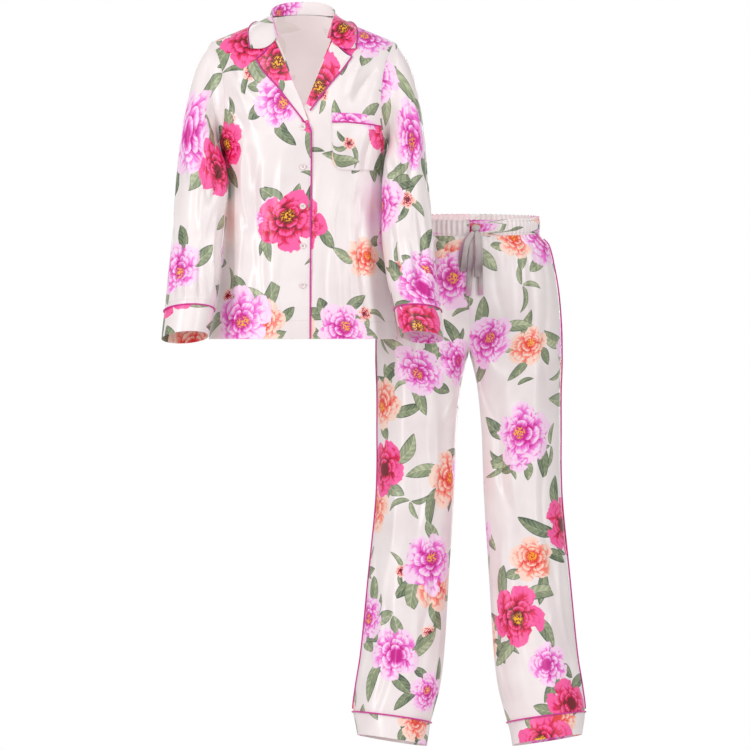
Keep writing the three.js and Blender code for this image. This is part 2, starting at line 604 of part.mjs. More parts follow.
// A flat round button with a raised rim, laid on the right front
function buildButtons() {
  const { radius, height } = BUTTON;
  const profile = [[0, 0], [radius - 0.8, 0], [radius, 0.9], [radius, height - 0.6],
    [radius - 0.7, height], [radius - 1.6, height], [radius - 2.3, height - 0.8],
    [0, height - 0.8]].map(([r, h]) => new THREE.Vector2(r, h));
  for (let i = 0; i < BUTTON.count; i += 1) {
    const z = BUTTON.top - BUTTON.pitch * i;
    const geometry = new THREE.LatheGeometry(profile, 10);
    geometry.rotateX(Math.PI);
    const mesh = new THREE.Mesh(geometry, pearl);
    mesh.name = `button_${i + 1}`;
    mesh.position.copy(onFront(0, z, SEAM));
    garment.add(mesh);
  }
}

// Ring of the seat in plan; turn 0 is the middle, 1 the side seam
function seatSpot(z, u, part) {
  const turn = u * Math.PI / 2;
  const power = 2 / 2.2;
  return {
    x: read(seatForm, 'z', z, 'half') * Math.sin(turn) ** power,
    y: read(seatForm, 'z', z, part) * Math.max(0, Math.cos(turn)) ** power,
  };
}

function legSpot(z, u) {
  const outer = read(legForm, 'z', z, 'outer');
  const inner = read(legForm, 'z', z, 'inner');
  const turn = u * Math.PI;
  return {
    x: (outer + inner) / 2 - ((outer - inner) / 2) * Math.cos(turn),
    y: read(legForm, 'z', z, 'depth') * Math.sin(turn),
  };
}

// One of the four long pieces of the trousers, from leg cuff to waistband
function trouserPoint(side, part, u, v) {
  const away = part === 'front' ? -1 : 1;
  const inset = 0.0014;
  const across = mix(inset, 1 - inset, u);
  const sideways = -Math.cos(across * Math.PI);
  const legY = LEG_CUFF.depth * Math.sin(across * Math.PI) * away;
  const low = LEG_CUFF.top + LEG_CUFF.sideRise * sideways - HEM_TILT * legY + SEAM;
  const waistY = WAIST.depth * Math.cos(across * Math.PI / 2) * away;
  const high = WAIST.bottom + WAIST.rise * (waistY + WAIST.depth) - SEAM;
  const z = mix(low, high, 1 - (1 - v) ** 1.5);
  const span = CROTCH_CURVE + CROTCH_FADE * smooth(0, 0.35, across);
  const parting = Math.min(1, Math.max(0, (CROTCH + CROTCH_CURVE - z) / span));
  const legShare = mix(
    1 - Math.sqrt(1 - parting ** 2), smooth(0, 1, parting), smooth(0, 0.25, across));
  const seat = seatSpot(z, across, part);
  const leg = legSpot(z, across);
  const fold = legFolds.reduce((sum, row) => {
    const t = (z - row.from) / (row.to - row.from);
    if (t <= 0 || t >= 1) return sum;
    const ends = Math.min(1, 5 * t, 5 * (1 - t));
    return sum + row.depth * ends * Math.exp(-(((across - row.at) / row.width) ** 2));
  }, 0);
  const gather = GATHERS.panelDepth * Math.cos(across * GATHERS.panel * 2 * Math.PI)
    * Math.exp(-(high - z) / GATHERS.fade);
  const round = Math.min(1, 8 * (1 - across), 8 * across);
  const x = mix(seat.x, leg.x, legShare);
  const y = mix(seat.y, leg.y, legShare) + (fold + gather) * round;
  const middle = read(legForm, 'z', z, 'midY') * legShare;
  return new THREE.Vector3(
    TROUSERS.x + side * Math.max(SEAM / 2, x), TROUSERS.y + away * y + middle, z);
}

function buildTrouserPanels() {
  for (const [name, side] of [['right', -1], ['left', 1]]) {
    for (const part of ['front', 'back']) {
      const at = (u, v) => trouserPoint(side, part, u, v);
      const flip = (side > 0) !== (part === 'front');
      add(`trouser_${part}_${name}`, wall(at, 12, 18, { flip }), satin);
    }
  }
}

// Waistband: an oval ring in close gathers
function bandPoint(u, v) {
  const turn = u * 2 * Math.PI;
  const wave = GATHERS.bandDepth * Math.cos(u * GATHERS.band * 2 * Math.PI);
  const part = Math.cos(turn) > 0 ? 'front' : 'back';
  const depth = read(seatForm, 'z', -400, part) + wave;
  const half = read(seatForm, 'z', -400, 'half') + wave;
  const y = -depth * Math.cos(turn);
  const foot = WAIST.bottom + WAIST.rise * (y + WAIST.depth);
  return new THREE.Vector3(TROUSERS.x + half * Math.sin(turn), TROUSERS.y + y,
    mix(foot, foot + WAIST.top - WAIST.bottom + wave * 0.5, v));
}

function buildWaistband() {
  const columns = 2 * GATHERS.band;
  add('waistband', wall(bandPoint, columns, 1, { thickness: BAND_WALL, round: true }), satin);
}

// Ring round a leg: turn 0 is its outer side, a quarter is its front
function legRing(side, turn, drop) {
  const c = Math.cos(turn * 2 * Math.PI);
  const s = Math.sin(turn * 2 * Math.PI);
  const lift = LEG_CUFF.sideRise * c + HEM_TILT * LEG_CUFF.depth * s;
  const z = mix(LEG_CUFF.top, LEG_CUFF.hem, drop) + lift;
  const outer = read(legForm, 'z', z, 'outer');
  const inner = read(legForm, 'z', z, 'inner');
  const x = (outer + inner) / 2 + ((outer - inner) / 2) * c;
  const y = read(legForm, 'z', z, 'midY') - read(legForm, 'z', z, 'depth') * s;
  return new THREE.Vector3(TROUSERS.x + side * x, TROUSERS.y + y, z);
}

function buildLegCuffs() {
  for (const [name, side] of [['right', -1], ['left', 1]]) {
    const cuff = (u, v) => legRing(side, u, v);
    add(`leg_cuff_${name}`, wall(cuff, 24, 2, { round: true, flip: side < 0 }), satin);
    const turns = roundTurns(24);
    const up = turns.map((turn) => {
      const middle = legRing(side, 0, 0).add(legRing(side, 0.5, 0)).multiplyScalar(0.5);
      return legRing(side, turn, 0).sub(middle).setZ(0).normalize();
    });
    const path = turns.map((turn, k) => (
      legRing(side, turn, 0).addScaledVector(up[k], PIPING_RADIUS + SEAM)));
    add(`piping_leg_${name}`, rod(path, up), pipingSatin);
    const out = new THREE.Vector3(side, 0, 0);
    const spots = [...Array(18).keys()].map((i) => {
      const point = trouserPoint(side, 'front', 1, Math.max(0.004, i / 18));
      return point.addScaledVector(out, PIPING_RADIUS + SEAM).setY(point.y - 0.2);
    });
    add(`piping_side_${name}`, rod(spots, spots.map(() => out)), pipingSatin);
  }
}

// A point on the front of the trousers, moved out
function onTrouserFront(x, z, out) {
  const half = read(seatForm, 'z', z, 'half');
  const front = read(seatForm, 'z', z, 'front') * roundOff(x / half, 2.2) + GATHERS.bandDepth;
  return new THREE.Vector3(TROUSERS.x + x, TROUSERS.y - front - out, z);
}

function buildTie() {
  for (const [name, rows] of Object.entries(tieStrands)) {
    const path = new THREE.CatmullRomCurve3(rows.map((row) => (
      onTrouserFront(row.x, row.z, row.out)))).getPoints(rows.length * 2);
    const forward = new THREE.Vector3(0, -1, 0);
    const up = path.map((point, k) => {
      const ahead = path[Math.min(path.length - 1, k + 1)].clone();
      const along = ahead.sub(path[Math.max(0, k - 1)]).normalize();
      const out = new THREE.Vector3().crossVectors(new THREE.Vector3(1, 0, 0), along);
      return out.lengthSq() > 0.01 ? out.normalize() : forward;
    });
    add(name, rod(path, up, { sides: 6, wide: TIE.width / 2, high: TIE.wall / 2 }), satinWrongSide);
  }
  const knot = new THREE.SphereGeometry(TIE.knot, 12, 8);
  knot.scale(1, 0.62, 0.86);
  const at = onTrouserFront(TIE.knotX, TIE.knotZ, 5.6);
  knot.translate(at.x, at.y, at.z);
  add('tie_knot', knot, satinWrongSide);
}

buildJacketBody();
buildSleeves();
buildCollar();
buildLapels();
buildFrontPiping();
buildPocket();
buildButtons();
buildTrouserPanels();
buildWaistband();
buildLegCuffs();
buildTie();

export default garment;
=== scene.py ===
import math
import re
import bpy
import numpy as np
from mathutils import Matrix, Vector


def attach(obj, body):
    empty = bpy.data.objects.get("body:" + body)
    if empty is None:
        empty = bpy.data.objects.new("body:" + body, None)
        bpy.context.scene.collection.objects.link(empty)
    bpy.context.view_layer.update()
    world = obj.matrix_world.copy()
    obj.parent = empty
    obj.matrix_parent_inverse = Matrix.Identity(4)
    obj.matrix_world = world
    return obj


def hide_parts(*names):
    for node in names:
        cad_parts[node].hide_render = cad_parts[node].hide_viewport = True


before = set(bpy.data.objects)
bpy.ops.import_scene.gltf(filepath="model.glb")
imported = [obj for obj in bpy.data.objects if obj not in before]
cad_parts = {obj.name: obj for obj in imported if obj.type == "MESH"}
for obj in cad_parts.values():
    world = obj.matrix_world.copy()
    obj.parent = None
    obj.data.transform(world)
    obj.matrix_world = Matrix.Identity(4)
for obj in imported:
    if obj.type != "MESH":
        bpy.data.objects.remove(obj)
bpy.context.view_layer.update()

mm = 0.001  # the cloth is cut and laid out in millimetres, Blender's unit is the metre

# The studio
studio = {
    "aim": (0.144, 0.0, -0.690), "away": 30.0, "lens": 720.0,
    "paper": 0.52,  # light from all round
    "floorHeight": -1.466, "floorSize": (3.0, 1.3),
}
lamps = {  # place, what it looks at, its width and height, power
    "stripLeft": ((-2.3, -3.0, 0.2), (0.1, 0, -0.7), (0.35, 3.4), 56),
    "stripRight": ((2.9, -2.6, 0.1), (0.2, 0, -0.7), (0.35, 3.4), 30),
    "windowFront": ((0.2, -4.6, 1.4), (0.15, 0, -0.5), (2.4, 1.4), 24),
    "overNeck": ((0.0, -1.0, 1.9), (0, 0.02, 0), (0.8, 0.6), 5),
    "stripBack": ((1.4, 3.2, 0.4), (0.15, 0.1, -0.6), (0.4, 3.2), 16),
    "windowBack": ((-1.6, 3.0, 0.8), (0.15, 0.1, -0.6), (1.6, 2.0), 18),
}


def softLight(name, place, aim, size, power):
    light = bpy.data.lights.new(name, "AREA")
    light.shape, light.size, light.size_y = "RECTANGLE", size[0], size[1]
    light.energy = power
    lamp = bpy.data.objects.new(name, light)
    lamp.location = place
    turn = np.array(aim) - np.array(place)
    lamp.rotation_euler = Vector(turn).to_track_quat("-Z", "Y").to_euler()
    bpy.context.collection.objects.link(lamp)


def setStudio():
    camera = bpy.data.cameras.new("studioCamera")
    camera.lens, camera.sensor_width = studio["lens"], 36
    camera.clip_start, camera.clip_end = 1, 200
    holder = bpy.data.objects.new("studioCamera", camera)
    x, y, z = studio["aim"]
    holder.location = (x, y - studio["away"], z)
    holder.rotation_euler = (math.pi / 2, 0, 0)
    bpy.context.collection.objects.link(holder)
    bpy.context.scene.camera = holder
    bpy.context.scene.view_settings.view_transform = "Standard"
    for name, values in lamps.items():
        softLight(name, *values)
    world = bpy.data.worlds.new("studioPaper")
    world.use_nodes = True
    nodes, links = world.node_tree.nodes, world.node_tree.links
    nodes.clear()
    out = nodes.new("ShaderNodeOutputWorld")
    around, seen = nodes.new("ShaderNodeBackground"), nodes.new("ShaderNodeBackground")
    around.inputs[1].default_value = studio["paper"]
    around.inputs[0].default_value = (1, 0.99, 0.99, 1)
    seen.inputs[0].default_value = (1, 1, 1, 1)
    ray, pick = nodes.new("ShaderNodeLightPath"), nodes.new("ShaderNodeMixShader")
    links.new(ray.outputs["Is Camera Ray"], pick.inputs[0])
    links.new(around.outputs[0], pick.inputs[1])
    links.new(seen.outputs[0], pick.inputs[2])
    links.new(pick.outputs[0], out.inputs["Surface"])
    bpy.context.scene.world = world


setStudio()
print("studio is set")


# Reading the forms
def form(columns, *rows):
    names = columns.split()
    return {name: np.array([row[k] for row in sorted(rows)], float)
            for k, name in enumerate(names)}


def read(rows, column, at):
    keys, values = next(iter(rows.values())), rows[column]
    last = len(keys) - 1
    k = np.arange(last + 1)
    after, before = np.minimum(k + 1, last), np.maximum(k - 1, 0)
    slopes = (values[after] - values[before]) / (keys[after] - keys[before])
    at = np.clip(at, keys[0], keys[-1])
    i = np.clip(np.searchsorted(keys, at, side="right") - 1, 0, last - 1)
    span, rise = keys[i + 1] - keys[i], values[i + 1] - values[i]
    t = (at - keys[i]) / span
    return values[i] + rise * t + t * (1 - t) * (
        (slopes[i] * span - rise) * (1 - t) + (rise - slopes[i + 1] * span) * t)


def mix(a, b, t):
    return a + (b - a) * t


def smooth(low, high, at):
    t = np.clip((at - low) / (high - low), 0, 1)
    return t * t * (3 - 2 * t)


def roundOff(q, power):
    return (1 - np.minimum(1, np.abs(q)) ** power) ** (1 / power)


crispness = {  # of the lesser folds; a fold bows by a share of its length, and a hollow runs beside it
    "height": 2.0, "width": 0.85, "bow": 0.06, "hollow": 0.4, "hollowAt": 1.7, "hollowWidth": 1.1}


def softFolds(rows, x, z):
    total = np.zeros(np.broadcast(x, z).shape)
    for x0, z0, x1, z1, width, depth in rows:
        dx, dz = x1 - x0, z1 - z0
        length = math.hypot(dx, dz)
        t = ((x - x0) * dx + (z - z0) * dz) / length ** 2
        off = ((x - x0) * dz - (z - z0) * dx) / length
        swell = np.sin(np.pi * np.clip(t, 0, 1))
        bow, taper = crispness["bow"] * length * swell, swell ** 0.8
        total = total + crispness["height"] * depth * taper * (
            np.exp(-(np.abs(off - bow) / (crispness["width"] * width)) ** 1.5)
            - crispness["hollow"] * np.exp(-((off - bow - crispness["hollowAt"] * width)
                                             / (crispness["hollowWidth"] * width)) ** 2))
    return total


def ripple(x, z, seed, size=1.0):
    waves = ((0.071, 0.006, 0.55), (0.113, -0.011, 0.32), (0.043, 0.017, 0.6), (0.027, -0.031, 0.45),
             (0.164, 0.009, 0.16))
    return size * sum(height * np.sin(a * x + b * z + seed * (3.1 + 5.7 * k))
                      for k, (a, b, height) in enumerate(waves))


# Finishes
def colour(red, green, blue):
    shares = [v / 255 for v in (red, green, blue)]
    return tuple(v / 12.92 if v < 0.04045 else ((v + 0.055) / 1.055) ** 2.4 for v in shares) + (1,)


printColours = {
    "ground": colour(246, 237, 236), "groundWash": colour(238, 226, 227),
    "redDeep": colour(116, 0, 26), "red": colour(226, 6, 78), "redPale": colour(255, 96, 168),
    "orchidDeep": colour(206, 6, 142), "orchid": colour(244, 112, 214),
    "orchidPale": colour(254, 218, 245),
    "coralDeep": colour(232, 52, 54), "coral": colour(254, 138, 118), "coralPale": colour(255, 220, 204),
    "stamen": colour(255, 186, 24), "leafDark": colour(70, 88, 70), "leaf": colour(136, 148, 116),
    "leafPale": colour(196, 202, 166),
}


def newGroup(name, inputs, outputs):
    tree = bpy.data.node_groups.new(name, "ShaderNodeTree")
    kinds = {"number": "NodeSocketFloat", "vector": "NodeSocketVector", "colour": "NodeSocketColor"}
    for label, kind, value in inputs:
        socket = tree.interface.new_socket(label, in_out="INPUT", socket_type=kinds[kind])
        if value is not None:
            socket.default_value = value
    for label, kind in outputs:
        tree.interface.new_socket(label, in_out="OUTPUT", socket_type=kinds[kind])
    given, out = tree.nodes.new("NodeGroupInput").outputs, tree.nodes.new("NodeGroupOutput").inputs
    return {socket.name: Flow(socket) for socket in given if socket.name}, out


# A number, vector or colour that runs through a node tree: what is worked out from it adds nodes there
class Flow:
    def __init__(self, socket):
        self.socket, self.tree = socket, socket.id_data

    def __add__(self, other):
        return calc("ADD", self, other)

    def __sub__(self, other):
        return calc("SUBTRACT", self, other)

    def __rsub__(self, other):
        return calc("SUBTRACT", other, self)

    def __mul__(self, other):
        return calc("MULTIPLY", self, other)

    def __truediv__(self, other):
        return calc("DIVIDE", self, other)

    __radd__, __rmul__ = __add__, __mul__


def feed(socket, value):
    if isinstance(value, Flow):
        value.tree.links.new(value.socket, socket)
    elif value is not None:
        socket.default_value = value


def addNode(kind, *values):
    return next(value.tree for value in values if isinstance(value, Flow)).nodes.new(kind)


def isVector(value):
    return isinstance(value, tuple) or isinstance(value, Flow) and value.socket.type in ("VECTOR", "RGBA")


def calc(operation, *values, clamp=False):
    if not any(isVector(value) for value in values):
        node = addNode("ShaderNodeMath", *values)
        node.operation, node.use_clamp = operation, clamp
        for socket, value in zip(node.inputs, values):
            feed(socket, value)
        return Flow(node.outputs[0])
    node = addNode("ShaderNodeVectorMath", *values)
    if operation == "MULTIPLY" and not isVector(values[1]):
        node.operation = "SCALE"
        feed(node.inputs[0], values[0])
        feed(node.inputs["Scale"], values[1])
        return Flow(node.outputs["Vector"])
    node.operation = operation
    for socket, value in zip(node.inputs, values):
        feed(socket, value)
    return Flow(node.outputs["Value" if operation in ("LENGTH", "DOT_PRODUCT") else "Vector"])


def ease(value, low, high, bottom=0.0, top=1.0):
    node = addNode("ShaderNodeMapRange", value)
    node.interpolation_type = "SMOOTHSTEP"
    for label, number in (("Value", value), ("From Min", low), ("From Max", high),
                          ("To Min", bottom), ("To Max", top)):
        feed(node.inputs[label], number)
    return Flow(node.outputs[0])


def tint(share, under, over):
    node = addNode("ShaderNodeMix", share, under, over)
    node.data_type = "RGBA"
    for number, value in ((0, share), (6, under), (7, over)):  # a Mix node's factor and its two colours
        feed(node.inputs[number], value)
    return Flow(node.outputs[2])


def parts(vector):
    node = addNode("ShaderNodeSeparateXYZ", vector)
    feed(node.inputs[0], vector)
    return [Flow(socket) for socket in node.outputs]


def vectorOf(x=0.0, y=0.0, z=0.0):
    node = addNode("ShaderNodeCombineXYZ", x, y, z)
    for socket, value in zip(node.inputs, (x, y, z)):
        feed(socket, value)
    return Flow(node.outputs[0])


def cloudy(vector, scale, detail=2.0, roughness=0.5, output="Fac"):
    node = addNode("ShaderNodeTexNoise", vector)
    for label, value in (("Vector", vector), ("Scale", scale), ("Detail", detail), ("Roughness", roughness)):
        feed(node.inputs[label], value)
    return Flow(node.outputs[output])


def chance(vector):
    node = addNode("ShaderNodeTexWhiteNoise", vector)
    feed(node.inputs["Vector"], vector)
    return parts(Flow(node.outputs["Color"]))


# One bloom in its own circle: rings of petals laid over each other, and a heart of stamens
petalRings = [  # petals round, reach, dip between petals, turn
    (5, 1.00, 0.30, 0.10), (6, 0.80, 0.24, 0.62), (5, 0.58, 0.26, 0.31), (4, 0.38, 0.28, 0.83),
]


def makeBloom():
    given, out = newGroup("peonyBloom", [
        ("Place", "vector", None), ("Seed", "number", 0.0), ("Deep", "colour", None),
        ("Main", "colour", None), ("Pale", "colour", None), ("Open", "number", 0.5)],
        [("Colour", "colour"), ("Mask", "number")])
    place, seed = given["Place"], given["Seed"]
    seeded = place + vectorOf(z=seed * 37.0)
    wobble, ruffle = cloudy(seeded, 1.7, 1.5) - 0.5, cloudy(seeded, 6.5, 1.0) - 0.5
    lean = vectorOf(*(calc(wave, seed * 50.0) * 0.16 for wave in ("COSINE", "SINE")))
    colour, mask = None, None
    for k, (count, reach, dip, turn) in enumerate(petalRings):
        moved = place - lean * (k / 4)
        x, y, _ = parts(moved)
        radius = calc("LENGTH", moved)
        sector = calc("ARCTAN2", y, x) * (count / (2 * math.pi)) + (seed * (7.3 + k) + turn)
        sector = wobble * 0.9 + sector
        across = calc("ABSOLUTE", calc("FRACT", sector) - 0.5) * 2.0
        edge = calc("POWER", across, 3.0) * (-dip * reach) + reach
        edge = wobble * (0.25 * reach) + (ruffle * (0.16 * reach) + edge)
        share = radius / edge
        inside = ease(share, 1.0, 0.965)
        # streaks run out from the heart; the petal pales to its lip and darkens where the next begins
        streak = cloudy(vectorOf(sector * 5.0, radius * 1.2, 3.1 * k + 0.7), 1.6, 2.0)
        tone = (streak - 0.5) * 1.5 + ease(share, 0.42, 1.0, -0.12, 1.04)
        tone = ease(across, 0.55, 1.0) * -0.70 + tone
        tone = calc("ADD", tone, 0.14 - 0.07 * k, clamp=True)
        petal = tint(ease(tone, 0.0, 0.5), given["Deep"], given["Main"])
        petal = tint(ease(tone, 0.5, 1.0), petal, given["Pale"])
        if colour is None:
            colour, mask = petal, inside
        else:
            colour = tint(inside, colour, petal)
    reachOut = ruffle * 0.18 + calc("LENGTH", place - lean)
    specks = ease(cloudy(seeded, 17.0, 1.0), 0.46, 0.56)
    heart = ease(reachOut, 0.24, 0.12) * (specks * ease(given["Open"], 0.25, 0.45))
    feed(out["Colour"], tint(heart, colour, printColours["stamen"]))
    feed(out["Mask"], mask)
    return mask.tree


def makeSpray():
    given, out = newGroup("leafSpray", [
        ("Place", "vector", None), ("Seed", "number", 0.0), ("Leaves", "number", 5.0),
        ("Start", "number", 0.55), ("Width", "number", 0.30)], [("Colour", "colour"), ("Mask", "number")])
    place, seed, leaves, start = (given[name] for name in ("Place", "Seed", "Leaves", "Start"))
    x, y, _ = parts(place)
    radius = calc("LENGTH", place)
    sector = calc("ARCTAN2", y, x) * (1 / (2 * math.pi)) + seed * 9.7
    sector = calc("FRACT", radius * 0.06 + sector) * leaves
    number = calc("FLOOR", sector)
    luck = chance(vectorOf(number, seed * 91.0, 2.5))
    swing = (luck[0] - 0.5) * 0.3 + -0.5
    angle = (sector - number + swing) * (2 * math.pi) / leaves
    along, off = (radius * calc(wave, angle) for wave in ("COSINE", "SINE"))
    reach = luck[1] * 0.65 + 1.30
    t = (along - start) / (reach - start)
    inside = calc("GREATER_THAN", t, 0.0) * calc("LESS_THAN", t, 1.0)
    held = calc("MAXIMUM", calc("MINIMUM", t, 1.0), 0.0)
    width = calc("POWER", held, 0.7) * calc("POWER", 1.0 - held, 0.85) * given["Width"] * 2.2
    away = calc("ABSOLUTE", off)
    mask = ease(away - width, 0.012, -0.012) * inside * calc("GREATER_THAN", luck[2], 0.22)
    veins = calc("SINE", (along - away) * 34.0)
    wash = cloudy(place + vectorOf(seed, 0.0, 5.0), 2.6, 2.0)
    tone = luck[0] * 0.35 + wash * 0.75
    tone = calc("GREATER_THAN", off, 0.0) * 0.16 + tone
    tone = veins * 0.09 + tone
    tone = ease(width - away, 0.05, 0.0) * -0.45 + tone
    tone = ease(away, 0.016, 0.004) * 0.35 + tone
    colour = tint(ease(tone, 0.2, 0.6), printColours["leafDark"], printColours["leaf"])
    feed(out["Colour"], tint(ease(tone, 0.6, 1.1), colour, printColours["leafPale"]))
    feed(out["Mask"], mask)
    return mask.tree


# Sets the blooms out over the cloth: cell side, bloom radius, the grid's turn and start
printLayers = [
    {"cell": 0.196, "bloom": 0.052, "turn": 0.42, "start": (0.03, 0.05), "wander": 0.14,
     "first": "coral", "second": "orchid", "share": 0.45},
    {"cell": 0.212, "bloom": 0.060, "turn": 1.12, "start": (0.11, 0.17), "wander": 0.14,
     "first": "red", "second": "orchid", "share": 0.50},
]
budLayer = {"cell": 0.126, "bloom": 0.0165, "turn": 0.81, "start": (0.05, 0.02), "wander": 0.36}
leafyFrom, budFrom = 0.42, 0.62  # the bud layer's cells with leaves, and with a bud too


def addGroup(group, **values):
    node = addNode("ShaderNodeGroup", *values.values())
    node.node_tree = group
    for label, value in values.items():
        feed(node.inputs[label], value)
    return {socket.name: Flow(socket) for socket in node.outputs}


def setOut(cloth, layer):
    turned = addNode("ShaderNodeMapping", cloth)
    turned.inputs["Rotation"].default_value = (0, 0, layer["turn"])
    turned.inputs["Location"].default_value = (*layer["start"], 0)
    feed(turned.inputs["Vector"], cloth)
    cells = Flow(turned.outputs[0]) * (1 / layer["cell"])
    row = calc("FLOOR", parts(cells)[1])
    cells = cells + vectorOf(row * 0.5)
    corner = calc("FLOOR", cells)
    luck = chance(corner + (0, 0, 7 * layer["turn"]))
    luckAgain = chance(corner + (0, 0, 3 + layer["turn"]))
    shift = vectorOf(luck[0] - 0.5, luck[1] - 0.5)
    inside = calc("FRACTION", cells) - (0.5, 0.5, 0) - shift * layer["wander"]
    size = layer["cell"] / layer["bloom"]
    size = calc("DIVIDE", size, luckAgain[1] * 0.30 + 0.82)
    return inside * (1, 1, 0) * size, luck[2], luckAgain[0]


def makePrint():
    bloom, spray = makeBloom(), makeSpray()
    given, out = newGroup("floralPrint", [("Cloth", "vector", None)],
                          [("Colour", "colour"), ("Ink", "number")])
    drift = cloudy(given["Cloth"], 9.0, 1.0, output="Color")
    cloth = given["Cloth"] + (drift - (0.5, 0.5, 0.5)) * 0.018 * (1, 1, 0)
    wash = ease(cloudy(cloth, 11.0, 2.0), 0.35, 0.75)
    result = tint(wash, printColours["ground"], printColours["groundWash"])

    place, kind, pick = setOut(cloth, budLayer)
    leaves = addGroup(spray, Place=place * 0.52, Seed=pick, Leaves=4.0, Start=0.06, Width=0.26)
    ink = leaves["Mask"] * calc("GREATER_THAN", kind, leafyFrom)
    result = tint(ink, result, leaves["Colour"])
    bud = addGroup(bloom, Place=place, Seed=pick, Open=0.0,
                   Deep=printColours["redDeep"], Main=printColours["red"], Pale=printColours["coralPale"])
    mask = bud["Mask"] * calc("GREATER_THAN", kind, budFrom)
    result, ink = tint(mask, result, bud["Colour"]), calc("MAXIMUM", ink, mask)

    spots = [setOut(cloth, layer) for layer in printLayers]
    for place, _, pick in spots:
        leaves = addGroup(spray, Place=place, Seed=pick, Leaves=5.0, Start=0.62, Width=0.34)
        result, ink = tint(leaves["Mask"], result, leaves["Colour"]), calc("MAXIMUM", ink, leaves["Mask"])
    for layer, (place, kind, pick) in zip(printLayers, spots):
        second = calc("GREATER_THAN", kind, layer["share"])
        shades = {shade: tint(second, printColours[layer["first"] + ending],
                              printColours[layer["second"] + ending])
                  for shade, ending in (("Deep", "Deep"), ("Main", ""), ("Pale", "Pale"))}
        flower = addGroup(bloom, Place=place, Seed=pick, Open=pick, **shades)
        result, ink = tint(flower["Mask"], result, flower["Colour"]), calc("MAXIMUM", ink, flower["Mask"])
    feed(out["Colour"], result)
    feed(out["Ink"], ink)
    return ink.tree


def makeWeave():
    given, out = newGroup("satinWeave", [("Cloth", "vector", None), ("Threads", "number", 2600.0)],
                          [("Height", "number"), ("Slub", "number")])
    x, y, _ = parts(given["Cloth"])
    fine = calc("SINE", (x + y * 0.28) * (given["Threads"] * (2 * math.pi)))
    slub = cloudy(given["Cloth"] * (1500, 70, 0), 1.0, 2.0)
    feed(out["Height"], fine * 0.35 + slub)
    feed(out["Slub"], slub)
    return slub.tree


floralPrint, satinWeave = makePrint(), makeWeave()


def newFinish(name, roughness, specular=0.5):
    material = bpy.data.materials.new(name)
    material.use_nodes = True
    shader = material.node_tree.nodes["Principled BSDF"]
    shader.inputs["Roughness"].default_value = roughness
    shader.inputs["Specular IOR Level"].default_value = specular
    return material, material.node_tree, shader.inputs


def clothPlace(tree):
    node = tree.nodes.new("ShaderNodeUVMap")
    node.uv_map = "cloth"
    return Flow(node.outputs[0])


def objectPlace(tree):
    return Flow(tree.nodes.new("ShaderNodeTexCoord").outputs["Object"])


def addBump(look, height, strength, distance):
    bump = addNode("ShaderNodeBump", height)
    bump.inputs["Strength"].default_value = strength
    bump.inputs["Distance"].default_value = distance
    feed(bump.inputs["Height"], height)
    feed(look["Normal"], Flow(bump.outputs[0]))


def satinFinish(name, ghost=0.0, roughness=0.29, paleTo=(246, 240, 239), paintedGlow=0.0):
    material, tree, look = newFinish(name, roughness, 0.62)
    cloth = clothPlace(tree)
    design, weave = addGroup(floralPrint, Cloth=cloth), addGroup(satinWeave, Cloth=cloth)
    shown = design["Colour"]
    if ghost:
        shown = tint(ghost, shown, colour(*paleTo))
    feed(look["Base Color"], shown)
    feed(look["Roughness"], design["Ink"] * 0.05 + (weave["Slub"] * 0.04 + (roughness - 0.02)))
    if paintedGlow:  # painted light: the cloth glows with its own colour, which lifts the shaded insides such as the back neck and the waistband
        feed(look["Emission Color"], shown)
        look["Emission Strength"].default_value = paintedGlow
    addBump(look, weave["Height"], 0.12, 0.00004)
    return material


def pipingFinish():
    material, tree, look = newFinish("pipingSatin", 0.34)
    cloth = clothPlace(tree)
    twist = calc("SINE", calc("DOT_PRODUCT", cloth, (900.0, 1500.0, 0.0)))
    feed(look["Base Color"], tint(cloudy(cloth, 60.0, 2.0), colour(232, 70, 176), colour(190, 24, 128)))
    addBump(look, twist, 0.35, 0.00012)
    return material


def tieFinish():
    material, tree, look = newFinish("tieSatin", 0.42)
    cloth = clothPlace(tree)
    wash = ease(cloudy(cloth, 14.0, 1.5), 0.42, 0.62)
    base = tint(wash, colour(206, 196, 194), colour(136, 116, 120))
    end = ease(parts(cloth)[1], 0.100, 0.125, 0.0, 0.45)  # the tails' ends are tinted by the print
    feed(look["Base Color"], tint(end, base, colour(198, 90, 168)))
    addBump(look, addGroup(satinWeave, Cloth=cloth)["Height"], 0.3, 0.0001)
    return material


def pearlFinish():
    material, tree, look = newFinish("pearlButton", 0.16, 0.7)
    place = objectPlace(tree)
    cloud = cloudy(place, 260.0, 3.0)
    feed(look["Base Color"], tint(ease(cloud, 0.3, 0.7), colour(250, 240, 236), colour(232, 214, 216)))
    feed(look["Roughness"], cloud * 0.12 + 0.12)
    look["Coat Weight"].default_value = 0.4
    look["Coat Roughness"].default_value = 0.08
    addBump(look, cloudy(place, 900.0, 2.0), 0.15, 0.0001)
    return material


def threadFinish():
    material, tree, look = newFinish("sewingThread", 0.5)
    patch = cloudy(objectPlace(tree), 700.0, 2.0)
    feed(look["Base Color"], tint(patch, colour(222, 200, 208), colour(184, 158, 170)))
    addBump(look, patch, 0.4, 0.0001)
    return material


printedSatin = satinFinish("printedSatin")
# painted light: the wrong side glows (emission) so the shaded insides of the garment look brighter
wrongSide = satinFinish("satinWrongSide", ghost=0.86, roughness=0.5, paintedGlow=0.13)
pipingSatin, tieSatin = pipingFinish(), tieFinish()
pearl, thread = pearlFinish(), threadFinish()
print("finishes are mixed")


# Making cloth and cords
made = {}


